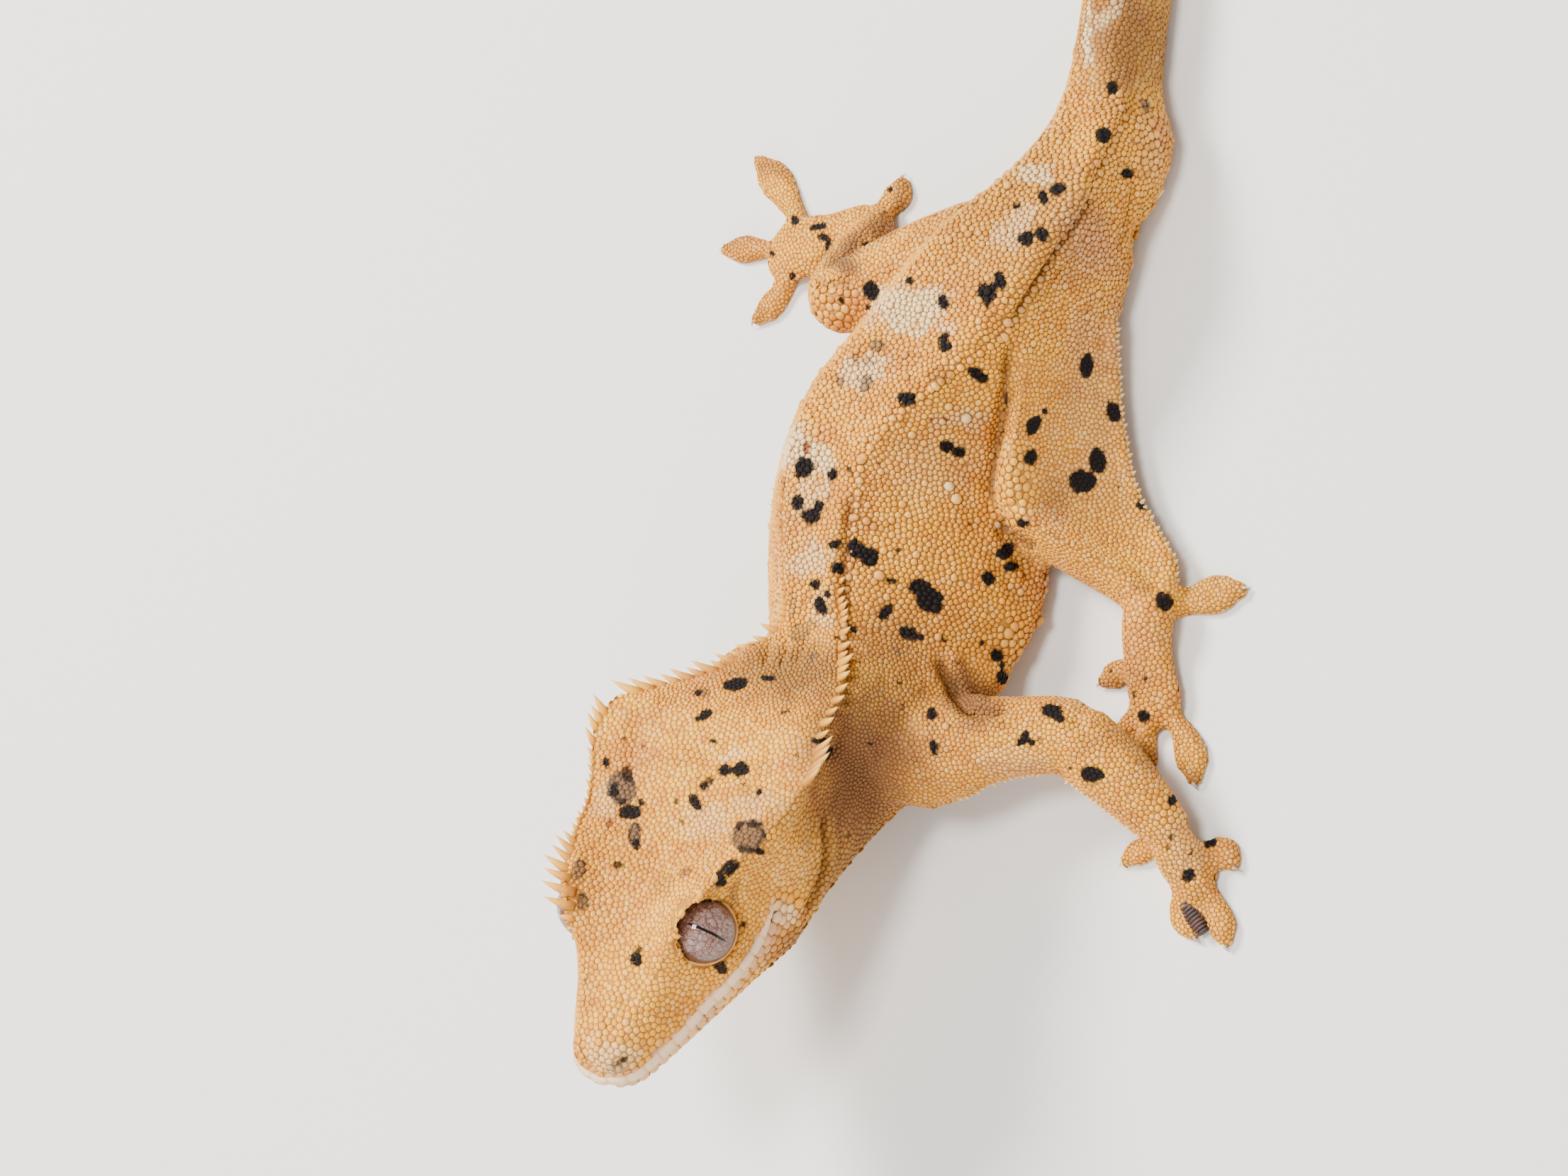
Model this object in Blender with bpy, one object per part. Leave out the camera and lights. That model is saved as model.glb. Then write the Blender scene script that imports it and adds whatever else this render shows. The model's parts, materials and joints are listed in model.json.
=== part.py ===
"""Crested gecko, a still life-size model resting on its belly, soles and tail.

The body is one loft from the back of the head to the tip of the tail, cut into
lengths. Each head, limb and digit is a loft of its own, trimmed clear of what it
grows from. Sizes are in millimetres in the model's own axes, +X to the animal's
left, +Y towards the tail and +Z up, and MM turns them into metres.
"""
import math

import bmesh
import bpy
import numpy as np
from mathutils import Vector

MM = 0.001
OBJECT_NAME = "crested_gecko"

# Clearances
GAP = 0.3
JOIN_MARGIN = 0.36
PARTING = 0.45

# Points round a limb
LIMB_SIDES = 12

# Head: where its base sits and how it is turned, tipped up and rolled
HEAD_BASE = np.array((6.0, -13.3, 8.8))
HEAD_TURN = math.radians(11.7)
HEAD_PITCH = math.radians(24.6)
HEAD_ROLL = math.radians(7.0)

# Head sections, snout first: distance forward of the occiput, then half widths and
# heights of the crown, crest, temple, cheek, lip and jaw, and the height of the throat
HEAD_SECTIONS = (
    (28.5, 6.5, 1.0, 6.2, 1.5, 5.6, 1.7, 4.8, 1.5, 3.9, 1.2, 3.1, 2.8),
    (27.7, 7.3, 1.6, 6.9, 2.4, 6.0, 2.7, 4.9, 2.6, 3.7, 2.3, 2.7, 2.1),
    (26.0, 8.0, 2.1, 7.6, 3.1, 6.4, 3.5, 4.9, 3.6, 3.5, 3.0, 2.3, 1.5),
    (23.5, 8.8, 2.7, 8.5, 3.9, 6.9, 4.5, 5.1, 4.7, 3.3, 4.0, 1.8, 1.0),
    (21.0, 9.7, 3.7, 9.8, 4.7, 7.6, 5.3, 5.4, 5.7, 3.2, 4.9, 1.4, 0.6),
    (19.0, 10.4, 5.1, 11.8, 5.3, 9.4, 6.5, 6.1, 6.6, 3.2, 5.7, 1.1, 0.3),
    (17.0, 10.9, 6.1, 12.5, 5.9, 9.9, 7.2, 6.4, 7.3, 3.3, 6.5, 0.9, 0.1),
    (15.0, 11.0, 6.4, 12.5, 6.2, 9.9, 7.6, 6.5, 7.9, 3.5, 7.5, 0.8, 0.0),
    (12.5, 11.0, 7.3, 12.0, 7.3, 9.5, 8.0, 6.6, 8.5, 3.8, 8.6, 0.5, -0.3),
    (9.0, 10.8, 8.2, 11.0, 8.0, 9.0, 8.6, 6.4, 9.2, 4.0, 9.1, 0.6, -0.5),
    (6.0, 11.0, 9.2, 11.2, 8.7, 9.0, 8.9, 6.4, 9.7, 4.0, 9.8, 0.5, -0.8),
    (2.8, 11.5, 10.2, 11.9, 9.2, 9.6, 9.4, 6.6, 10.2, 3.8, 10.6, 0.2, -1.4),
    (0.0, 11.9, 9.3, 12.2, 9.2, 10.0, 9.8, 7.0, 10.8, 3.4, 11.4, -0.3, -2.4),
)
SNOUT_TIP = (28.9, 5.0)

# Mouth line: distance forward and height of the edge where the lips meet
MOUTH_LINE = ((12.1, 4.3), (14.0, 3.75), (17.0, 3.3), (20.0, 3.15), (23.0, 3.2), (26.0, 3.45), (30.0, 3.9))

# Eyes, nostrils and ears in head axes: forward, left, up
EYE_CENTRE = (16.9, 4.95, 8.5)
EYE_RADIUS = 2.65
NOSTRIL = (28.0, 1.95, 6.0)
NOSTRIL_RADIUS = 0.42
EAR = (4.3, 9.1, 4.6)
EAR_HALF_SIZES = (0.7, 1.1, 1.5)

# Trunk and tail sections: foot of the section (x, y, z), turn and pitch in degrees, lean of
# the back, height, half width of the back, left and right half widths and their height
BODY_SECTIONS = (
    (12.5, -8.2, 4.1, 14, 12, 0.8, 12.8, 5.7, 11.2, 10.5, 3.8),
    (15.2, -2.4, 1.2, 9, 4, 1.2, 13.8, 3.0, 11.2, 10.4, 3.4),
    (16.6, 1.3, 0.4, 7, 0, 2.0, 15.1, 2.9, 12.0, 11.6, 3.0),
    (17.2, 6.9, 0.0, 10, 0, 2.0, 16.0, 3.5, 12.2, 12.2, 2.9),
    (18.4, 11.8, 0.0, 22, 0, 2.0, 16.0, 4.0, 11.4, 12.3, 2.9),
    (20.6, 15.4, 0.0, 35, 0, 2.0, 15.6, 4.4, 9.6, 12.1, 2.9),
    (24.1, 18.6, 0.0, 41, 0, 2.0, 15.0, 4.6, 8.4, 12.0, 3.0),
    (27.5, 22.8, 0.1, 40, 0, 1.7, 14.3, 4.7, 7.6, 11.6, 3.4),
    (30.9, 27.0, 0.4, 35, 0, 1.5, 13.4, 4.5, 6.2, 10.4, 3.8),
    (34.4, 31.6, 0.8, 26, 0, 1.0, 11.8, 3.8, 4.2, 8.0, 4.0),
    (35.9, 35.4, 0.6, 17, 0, 0.8, 10.4, 3.1, 4.5, 5.8, 3.9),
    (36.9, 39.4, 0.2, 12, 0, 0.5, 9.1, 2.5, 4.8, 4.8, 3.8),
    (36.9, 44.4, 0.0, 9, 0, 0.2, 7.8, 1.8, 3.6, 3.7, 3.7),
    (37.9, 51.3, 0.0, 8, 0, 0.0, 7.3, 1.8, 3.55, 3.55, 3.5),
)
# Tail past the last section: distance, height, half width
TAIL_SECTIONS = (
    (10.0, 6.9, 3.4), (22.0, 6.2, 3.1), (35.0, 5.4, 2.75), (48.0, 4.6, 2.35), (60.0, 3.8, 1.95),
    (70.0, 3.1, 1.6), (76.0, 2.6, 1.55), (81.0, 2.0, 1.95), (84.5, 1.4, 1.75), (86.5, 0.9, 0.9),
)
TAIL_TURN_START = 8.0
TAIL_TURN_TOTAL = -52.0
TAIL_TURN_POWER = 1.4

# Where the body loft is parted, counted in sections from the back of the head
BODY_CUTS = (
    ("neck", 0.0, 2.0),
    ("torso_front", 2.0, 6.0),
    ("torso_rear", 6.0, 12.6),
    ("tail_base", 12.6, 15.0),
    ("tail_middle", 15.0, 17.0),
    ("tail_rear", 17.0, 20.0),
    ("tail_tip", 20.0, 24.0),
)

# Limb segments: centre x, y, z, then half width across and half height, root first
UPPER_ARM_LEFT = ((17.0, -9.4, 8.2, 5.2, 4.6), (21.6, -11.0, 8.2, 4.9, 4.2), (26.0, -10.8, 7.9, 3.5, 3.4),
                  (30.0, -10.7, 7.2, 3.2, 3.1), (33.0, -11.0, 6.6, 3.0, 2.9), (34.3, -11.6, 6.3, 1.9, 1.9))
FOREARM_LEFT = ((31.6, -9.9, 6.9, 2.2, 2.2), (33.4, -11.5, 6.4, 3.1, 2.9), (35.9, -14.1, 5.3, 2.9, 2.6),
                (37.9, -16.7, 4.1, 2.4, 2.1), (39.3, -18.7, 3.1, 1.9, 1.6))
UPPER_ARM_RIGHT = ((12.0, -5.5, 8.2, 4.2, 4.0), (8.5, -4.7, 8.3, 3.7, 3.5), (5.2, -3.6, 8.3, 3.2, 3.1),
                   (2.8, -3.0, 7.7, 2.8, 2.7), (1.7, -2.9, 7.4, 1.7, 1.7))
FOREARM_RIGHT = ((3.9, -2.2, 7.6, 1.9, 1.9), (2.3, -3.2, 7.2, 2.9, 2.7), (-0.3, -5.2, 5.4, 2.6, 2.4),
                 (-2.5, -7.0, 3.8, 2.1, 1.9), (-3.6, -8.0, 2.9, 1.8, 1.5))
THIGH_RIGHT = ((31.0, 31.5, 7.0, 3.6, 3.6), (25.0, 31.0, 7.2, 4.0, 3.8), (19.0, 30.0, 7.5, 3.8, 3.6),
               (14.2, 29.0, 7.6, 3.3, 3.2), (11.8, 28.5, 7.4, 2.6, 2.6), (10.7, 28.3, 7.3, 1.5, 1.6))
SHANK_RIGHT = ((11.9, 28.0, 7.2, 2.0, 2.0), (11.7, 30.2, 6.4, 2.7, 2.5), (12.2, 33.2, 4.7, 2.4, 2.3),
               (13.0, 36.2, 2.9, 2.0, 1.8), (13.2, 37.4, 2.4, 1.5, 1.4))
# Soles: as limb segments, and flat where they meet the floor
HAND_LEFT = ((38.9, -18.1, 3.3, 1.5, 1.3), (39.2, -19.4, 2.5, 1.9, 1.7), (39.6, -20.9, 1.6, 2.0, 1.6),
             (40.2, -22.4, 1.2, 1.7, 1.2), (40.6, -23.5, 0.9, 1.2, 0.9))
HAND_RIGHT = ((-3.2, -7.4, 3.1, 1.5, 1.3), (-4.1, -8.3, 2.4, 2.0, 1.6), (-5.0, -9.2, 1.6, 2.5, 1.6),
              (-5.6, -10.6, 1.2, 2.3, 1.2), (-5.9, -11.6, 0.9, 1.5, 0.9))
FOOT_LEFT = ((38.2, 0.6, 2.8, 1.8, 1.6), (37.6, -1.4, 2.3, 2.2, 1.9), (37.2, -3.8, 1.7, 2.1, 1.6),
             (37.4, -6.4, 1.4, 2.2, 1.4), (37.6, -8.4, 1.1, 2.2, 1.1), (37.8, -9.5, 0.8, 1.4, 0.8))
FOOT_RIGHT = ((14.0, 37.0, 2.2, 1.6, 1.5), (11.8, 37.4, 1.9, 2.3, 1.8), (8.6, 37.3, 1.6, 2.4, 1.6),
              (5.3, 37.2, 1.4, 3.0, 1.4), (3.0, 37.3, 1.1, 2.8, 1.1), (1.8, 37.5, 0.8, 1.8, 0.8))

# Left thigh and shank with the skin web behind them: inner edge x, y, outer edge x, y,
# height of the muscle, how far across it lies, and height of the outer edge
THIGH_LEFT = ((32.6, 32.4, 36.6, 32.2, 8.0, 0.45, 4.2), (31.2, 28.2, 36.5, 27.8, 9.6, 0.45, 3.6),
              (29.9, 22.5, 36.0, 22.0, 10.3, 0.42, 2.9), (28.3, 16.5, 36.0, 16.0, 10.4, 0.36, 2.5),
              (26.9, 11.5, 36.7, 10.8, 10.2, 0.31, 2.3), (26.5, 8.4, 37.6, 8.0, 9.4, 0.28, 2.3))
SHANK_LEFT = ((26.6, 9.4, 37.4, 8.8, 9.0, 0.28, 2.3), (27.4, 6.2, 38.3, 6.6, 8.9, 0.30, 2.3),
              (30.0, 3.8, 39.2, 5.0, 7.6, 0.38, 2.3), (33.0, 1.7, 40.1, 3.2, 5.9, 0.46, 2.2),
              (35.2, 0.0, 40.1, 1.4, 4.7, 0.50, 2.1), (36.0, -1.3, 39.6, -0.5, 4.0, 0.50, 2.0))
WEB_UNDERSIDE = 0.9
WEB_EDGE = 0.45

# Digits: root x, y, bend x, y, tip x, y, half width of the pad
FINGERS_LEFT = ((38.6, -19.4, 36.2, -19.2, 33.9, -20.2, 0.95), (39.3, -22.2, 38.7, -24.4, 40.0, -26.6, 0.90),
                (40.5, -22.6, 40.5, -24.0, 40.8, -25.4, 0.55), (41.0, -22.3, 41.8, -24.8, 42.5, -27.4, 1.10),
                (40.6, -20.2, 42.0, -20.0, 43.6, -21.4, 1.25))
FINGERS_RIGHT = ((-3.7, -9.8, -2.0, -10.8, -0.4, -12.6, 0.95), (-4.7, -11.2, -3.9, -13.6, -3.0, -16.0, 1.05),
                 (-5.8, -11.4, -5.9, -14.0, -6.0, -16.8, 1.10), (-6.7, -10.9, -8.0, -13.0, -9.0, -15.2, 1.05),
                 (-6.9, -9.4, -8.8, -10.2, -10.6, -11.4, 0.95))
TOES_LEFT = ((36.6, -4.6, 34.6, -4.7, 32.4, -5.6, 1.05), (36.2, -7.6, 34.8, -9.4, 33.8, -11.6, 1.05),
             (36.9, -9.0, 36.2, -11.3, 35.9, -14.0, 1.00), (38.4, -8.8, 39.8, -11.2, 40.3, -14.6, 1.25),
             (38.4, -0.4, 41.6, 0.3, 45.2, 0.5, 1.45))
TOES_RIGHT = ((7.4, 36.0, 7.2, 33.0, 7.8, 29.6, 1.05), (3.8, 35.6, 2.2, 33.6, -0.5, 31.6, 1.15),
              (2.4, 37.8, -0.4, 38.6, -3.9, 39.2, 1.15), (4.6, 39.4, 2.6, 43.4, -0.2, 47.3, 1.45),
              (11.4, 39.0, 13.8, 39.9, 14.9, 42.0, 1.30))
# Digit profile: share of the length, share of the pad's half width, height above the floor
DIGIT_PROFILE = ((0.0, 0.62, 1.7), (0.22, 0.56, 1.45), (0.42, 0.78, 1.35), (0.62, 1.0, 1.35),
                 (0.78, 0.92, 1.25), (0.90, 0.52, 1.15), (1.0, 0.30, 1.0))
# Its section: share of the half width, share of the height
DIGIT_OUTLINE = ((1.0, 0.0), (1.12, 0.45), (0.75, 0.88), (0.0, 1.0),
                 (-0.75, 0.88), (-1.12, 0.45), (-1.0, 0.0))
CLAW_LENGTH = 0.9
# Claw: share of its length, share of its root's width, lift
CLAW_PROFILE = ((0.35, 0.62, 0.12), (1.0, 0.22, -0.18))

# Crest spines: sides and root radius, then rows of place along the head and length
SPINE_SIDES = 5
SPINE_ROOT = 0.42
SPINE_SINK = 0.7
BROW_SPINES = ((19.6, 0.9), (18.8, 1.2), (17.9, 1.5), (17.0, 1.7),
               (16.1, 1.7), (15.2, 1.6), (14.3, 1.3), (13.4, 1.0))
TEMPLE_SPINES = ((12.2, 0.6), (10.8, 0.6), (9.3, 0.6), (7.8, 0.7), (6.4, 0.8), (5.2, 1.0))
CORNER_SPINES = ((4.1, 1.2), (2.9, 1.4), (1.6, 1.4))
NAPE_ROW = (0.16, 1.86, 8, 1.5, 1.2)
BACK_ROW = (2.12, 4.3, 12, 1.15, 0.7)
ROW_SEED = 11

SKIN = ((0.604, 0.305, 0.102), 0.62)
EYE = ((0.20, 0.15, 0.14), 0.12)


def head_axes():
    """Forward, left and up of the head as unit vectors."""
    forward = np.array((-math.sin(HEAD_TURN), -math.cos(HEAD_TURN), 0.0))
    left = np.array((math.cos(HEAD_TURN), -math.sin(HEAD_TURN), 0.0))
    up = np.array((0.0, 0.0, 1.0))
    tipped = forward * math.cos(HEAD_PITCH) + up * math.sin(HEAD_PITCH)
    raised = up * math.cos(HEAD_PITCH) - forward * math.sin(HEAD_PITCH)
    rolled_left = left * math.cos(HEAD_ROLL) - raised * math.sin(HEAD_ROLL)
    rolled_up = raised * math.cos(HEAD_ROLL) + left * math.sin(HEAD_ROLL)
    return tipped, rolled_left, rolled_up


def head_point(forward, left, up):
    """A point given in head axes, in model axes."""
    along, across, above = head_axes()
    return HEAD_BASE + along * forward + across * left + above * up


def head_ring(section):
    """The sixteen points that a head section is drawn through."""
    a, crown, wc, hc, wt, ht, wm, hm, wl, hl, wj, hj, throat = section
    half = ((0.5 * wc, 0.55 * crown + 0.45 * hc - 0.1), (wc, hc), (wt, ht), (wm, hm), (wl, hl), (wj, hj),
            (0.55 * wj, throat + 0.2))
    left = [head_point(a, b, h) for b, h in half]
    right = [head_point(a, -b, h) for b, h in reversed(half)]
    return np.array([head_point(a, 0, crown)] + left + [head_point(a, 0, throat)] + right)


def body_ring(section):
    """The sixteen points that a trunk or tail section is drawn through."""
    x, y, z, turn, pitch, lean, height, wc, left_w, right_w, fold = section
    turn, pitch = math.radians(turn), math.radians(pitch)
    left = np.array((math.cos(turn), -math.sin(turn), 0.0))
    up = np.array((math.sin(turn) * math.sin(pitch), math.cos(turn) * math.sin(pitch), math.cos(pitch)))
    foot = np.array((x, y, z))
    drop = height - fold

    def point(b, h):
        return foot + left * (b - lean * h / height) + up * h

    def side(w, sign):
        half = ((0.5 * wc, height + 0.1), (wc, height - 0.15),
                (wc + 0.42 * (w - wc), height - 0.28 * drop), (wc + 0.80 * (w - wc), height - 0.64 * drop),
                (w, fold), (0.92 * w, 0.38 * fold), (0.6 * w, 0.02))
        return [point(sign * b, h) for b, h in half]

    return np.array([point(0, height)] + side(left_w, 1) + [point(0, 0)] + side(right_w, -1)[::-1])


def tail_sections():
    """The tail's sections past the last body section, along a smooth curl on the floor."""
    x, y = BODY_SECTIONS[-1][:2]
    length = TAIL_SECTIONS[-1][0]
    sections = []
    done = 0.0
    for distance, height, width in TAIL_SECTIONS:
        while done < distance:
            step = min(0.5, distance - done)
            turn = TAIL_TURN_START + TAIL_TURN_TOTAL * ((done + step / 2) / length) ** TAIL_TURN_POWER
            x += step * math.sin(math.radians(turn))
            y += step * math.cos(math.radians(turn))
            done += step
        turn = TAIL_TURN_START + TAIL_TURN_TOTAL * (done / length) ** TAIL_TURN_POWER
        sections.append((x, y, 0.0, turn, 0, 0.0, height, 0.5 * width, width, width, 0.48 * height))
    return sections


def catmull(p0, p1, p2, p3, t):
    """A point at share t between p1 and p2 on the smooth curve through all four."""
    return 0.5 * (2 * p1 + (p2 - p0) * t + (2 * p0 - 5 * p1 + 4 * p2 - p3) * t ** 2
                  + (3 * p1 - p0 - 3 * p2 + p3) * t ** 3)


def closed_curve(keys, per_key):
    """Points on the smooth closed curve through the keys."""
    count = len(keys)
    points = []
    for i in range(count):
        quad = [keys[(i + k) % count] for k in (-1, 0, 1, 2)]
        points += [catmull(*quad, step / per_key) for step in range(per_key)]
    return np.array(points)


def between_rings(rings, t):
    """The ring at place t, counted in rings, on the smooth surface through all of them."""
    last = len(rings) - 1
    i = min(int(t), last - 1)
    before = rings[i - 1] if i > 0 else 2 * rings[0] - rings[1]
    after = rings[i + 2] if i + 2 <= last else 2 * rings[last] - rings[last - 1]
    return catmull(before, rings[i], rings[i + 1], after, t - i)


def material(name, finish):
    """A Principled material of one colour and roughness."""
    colour, roughness = finish
    mat = bpy.data.materials.new(name)
    mat.use_nodes = True
    shader = mat.node_tree.nodes["Principled BSDF"]
    shader.inputs["Base Color"].default_value = (*colour, 1.0)
    shader.inputs["Roughness"].default_value = roughness
    shader.inputs["Metallic"].default_value = 0.0
    return mat


def link_bmesh(name, bm, collection):
    """A new object holding the given faces, its normals turned outward."""
    bmesh.ops.recalc_face_normals(bm, faces=bm.faces)
    mesh = bpy.data.meshes.new(name)
    bm.to_mesh(mesh)
    bm.free()
    obj = bpy.data.objects.new(name, mesh)
    collection.objects.link(obj)
    return obj


def loft(name, rings, collection, start_dome=0.0, end_dome=0.0, floor=None):
    """A closed solid through the rings, with domed ends and an optional flat underside."""
    bm = bmesh.new()
    rows = []
    for ring in rings:
        points = np.array(ring)
        if floor is not None:
            points[:, 2] = np.maximum(points[:, 2], floor)
        rows.append([bm.verts.new(Vector(p * MM)) for p in points])
    count = len(rows[0])
    for near, far in zip(rows, rows[1:]):
        for i in range(count):
            j = (i + 1) % count
            bm.faces.new((near[i], near[j], far[j], far[i]))
    ends = ((rows[0], rings[0], rings[1], start_dome), (rows[-1], rings[-1], rings[-2], end_dome))
    for row, ring, inner, dome in ends:
        centre = np.mean(ring, axis=0)
        outward = centre - np.mean(inner, axis=0)
        centre = centre + outward / np.linalg.norm(outward) * dome
        if floor is not None:
            centre[2] = max(centre[2], floor + 0.1)
        hub = bm.verts.new(Vector(centre * MM))
        for i in range(count):
            bm.faces.new((row[i], row[(i + 1) % count], hub))
    return link_bmesh(name, bm, collection)


def tube_rings(sections, sides, steps):
    """Rings square to the path of a limb, through sections of x, y, z, half width, half height."""
    keys = np.array(sections, float)
    last = len(keys) - 1
    smooth = [between_rings(list(keys), i / steps) for i in range(last * steps + 1)]
    rings = []
    for i, (x, y, z, width, height) in enumerate(smooth):
        ahead = smooth[min(i + 1, len(smooth) - 1)][:3]
        behind = smooth[max(i - 1, 0)][:3]
        along = (ahead - behind) / np.linalg.norm(ahead - behind)
        across = np.cross(along, (0.0, 0.0, 1.0))
        across /= np.linalg.norm(across)
        above = np.cross(across, along)
        ring = []
        for k in range(sides):
            angle = 2 * math.pi * (k + 0.5) / sides
            reach = across * width * math.cos(angle) + above * height * math.sin(angle)
            ring.append(np.array((x, y, z)) + reach)
        rings.append(np.array(ring))
    return rings


def web_rings(sections, steps):
    """Rings of the left hind leg: a muscle that thins outward into a web of skin."""
    keys = []
    for ax, ay, bx, by, top, place, edge in sections:
        inner, outer = np.array((ax, ay)), np.array((bx, by))

        def point(share, height):
            return np.array((*(inner + (outer - inner) * share), height))

        keys.append(np.array([
            point(0.0, 0.45 * top), point(0.35 * place, 0.82 * top), point(place, top),
            point(0.5 * (place + 1.0) - 0.06, 0.42 * top + 0.58 * edge), point(0.86, edge + 0.9),
            point(1.0, edge + WEB_EDGE), point(1.0, edge - WEB_EDGE), point(0.84, edge - 0.9),
            point(0.55, WEB_UNDERSIDE), point(0.2, WEB_UNDERSIDE)]))
    last = len(keys) - 1
    return [closed_curve(between_rings(keys, i / steps), 2) for i in range(last * steps + 1)]


def digit_rings(root, bend, tip, half_width):
    """Rings of one digit: a narrow root, a broad pad and a fine curved claw."""
    path = [np.array((*p, 0.0)) for p in (root, bend, tip)]
    along_end = (path[2] - path[1]) / np.linalg.norm(path[2] - path[1])

    def place(share):
        if share <= 1.0:
            start, middle, end = path
            pull = 4 * middle - start - end
            return start * (1 - share) ** 2 + pull * share * (1 - share) + end * share ** 2
        return path[2] + along_end * (share - 1.0)

    rings = []
    for share, width, top in DIGIT_PROFILE:
        step = 0.02
        along = place(min(share + step, 1.0)) - place(max(share - step, 0.0))
        along /= np.linalg.norm(along)
        across = np.array((along[1], -along[0], 0.0)) * half_width * width
        centre = place(share)
        rings.append(np.array([centre + across * b + np.array((0, 0, top * h)) for b, h in DIGIT_OUTLINE]))
    claw_base = rings[-1]
    centre = claw_base.mean(axis=0)
    for reach, width, lift in CLAW_PROFILE:
        claw = centre + along_end * reach * CLAW_LENGTH + (claw_base - centre) * width
        rings.append(claw + np.array((0, 0, lift)))
    return rings


def evaluated_copy(obj):
    """Replace an object's mesh by what its modifiers make of it."""
    graph = bpy.context.evaluated_depsgraph_get()
    mesh = bpy.data.meshes.new_from_object(obj.evaluated_get(graph))
    obj.modifiers.clear()
    obj.data = mesh


def keep_largest(obj):
    """Leave only the largest closed surface of an object."""
    bm = bmesh.new()
    bm.from_mesh(obj.data)
    bmesh.ops.remove_doubles(bm, verts=bm.verts, dist=2e-6)
    bmesh.ops.dissolve_degenerate(bm, edges=bm.edges, dist=2e-6)
    left = set(bm.faces)
    shells = []
    while left:
        seed = left.pop()
        shell, queue = {seed}, [seed]
        while queue:
            for edge in queue.pop().edges:
                for face in edge.link_faces:
                    if face in left:
                        left.remove(face)
                        shell.add(face)
                        queue.append(face)
        shells.append(shell)
    largest = max(shells, key=lambda s: sum(f.calc_area() for f in s))
    scraps = [f for s in shells if s is not largest for f in s]
    bmesh.ops.delete(bm, geom=scraps, context="FACES")
    bmesh.ops.triangulate(bm, faces=bm.faces)
    bm.to_mesh(obj.data)
    bm.free()


def combine(obj, operation, others, solver="EXACT"):
    """Union with, or difference from, a list of closed objects, which are used up."""
    tools = bpy.data.collections.new("boolean_tools")
    for other in others:
        for home in other.users_collection:
            home.objects.unlink(other)
        tools.objects.link(other)
    bpy.context.scene.collection.children.link(tools)
    modifier = obj.modifiers.new(operation.lower(), "BOOLEAN")
    modifier.operation = operation
    modifier.operand_type = "COLLECTION"
    modifier.collection = tools
    modifier.solver = solver
    evaluated_copy(obj)
    for other in list(tools.objects):
        bpy.data.objects.remove(other)
    bpy.data.collections.remove(tools)
    keep_largest(obj)


def grown(obj, collection, margin=JOIN_MARGIN):
    """A copy of a solid grown by the margin, to cut its neighbour clear of it."""
    copy = bpy.data.objects.new(obj.name + "_grown", obj.data.copy())
    collection.objects.link(copy)
    bm = bmesh.new()
    bm.from_mesh(copy.data)
    bm.normal_update()
    for vert in bm.verts:
        vert.co += vert.normal * margin * MM * min(vert.calc_shell_factor(), 1.6)
    bm.to_mesh(copy.data)
    bm.free()
    return copy


def ball(name, centre, radii, collection, segments=16, rings=10):
    """An ellipsoid with its half sizes along head axes."""
    bm = bmesh.new()
    bmesh.ops.create_uvsphere(bm, u_segments=segments, v_segments=rings, radius=1.0)
    axes = head_axes()
    for vert in bm.verts:
        offset = sum(axis * radius * value for axis, radius, value in zip(axes, radii, vert.co))
        vert.co = Vector((centre + offset) * MM)
    return link_bmesh(name, bm, collection)


def spine(root, direction, length, radius, collection):
    """A pointed spine standing on the skin, its root sunk well in."""
    direction = np.array(direction) / np.linalg.norm(direction)
    bm = bmesh.new()
    total = length + SPINE_SINK
    bmesh.ops.create_cone(
        bm, cap_ends=True, segments=SPINE_SIDES, radius1=radius * MM, radius2=0.0, depth=total * MM)
    turn = Vector((0, 0, 1)).rotation_difference(Vector(direction)).to_matrix().to_4x4()
    centre = np.array(root) + direction * (total / 2 - SPINE_SINK)
    for vert in bm.verts:
        vert.co = turn @ vert.co + Vector(centre * MM)
    return link_bmesh("spine", bm, collection)


def mouth_block(name, margin, collection):
    """The space of the lower jaw: all below the mouth line and ahead of its corner."""
    back = MOUTH_LINE[0][0] - margin
    outline = [(back, -8.0), (36.0, -8.0), (36.0, MOUTH_LINE[-1][1] + margin)]
    outline += [(a, h + margin) for a, h in reversed(MOUTH_LINE[1:])]
    outline += [(back, MOUTH_LINE[0][1] + margin)]
    bm = bmesh.new()
    sides = [[bm.verts.new(Vector(head_point(a, b, h) * MM)) for a, h in outline] for b in (-16.0, 16.0)]
    bm.faces.new(sides[0])
    bm.faces.new(sides[1][::-1])
    count = len(outline)
    for i in range(count):
        j = (i + 1) % count
        bm.faces.new((sides[0][i], sides[1][i], sides[1][j], sides[0][j]))
    return link_bmesh(name, bm, collection)


def crest_at(rings, t, side):
    """Place of the crest on a loft, on the left (side 1) or the right (side -1)."""
    return between_rings(rings, t)[2 if side > 0 else -2]


def head_crest_place(forward):
    """Where along the head's sections a distance forward of the occiput falls."""
    places = [section[0] for section in HEAD_SECTIONS]
    for i in range(len(places) - 1):
        if places[i] >= forward >= places[i + 1]:
            return i + (places[i] - forward) / (places[i] - places[i + 1])
    return 0.0


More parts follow.
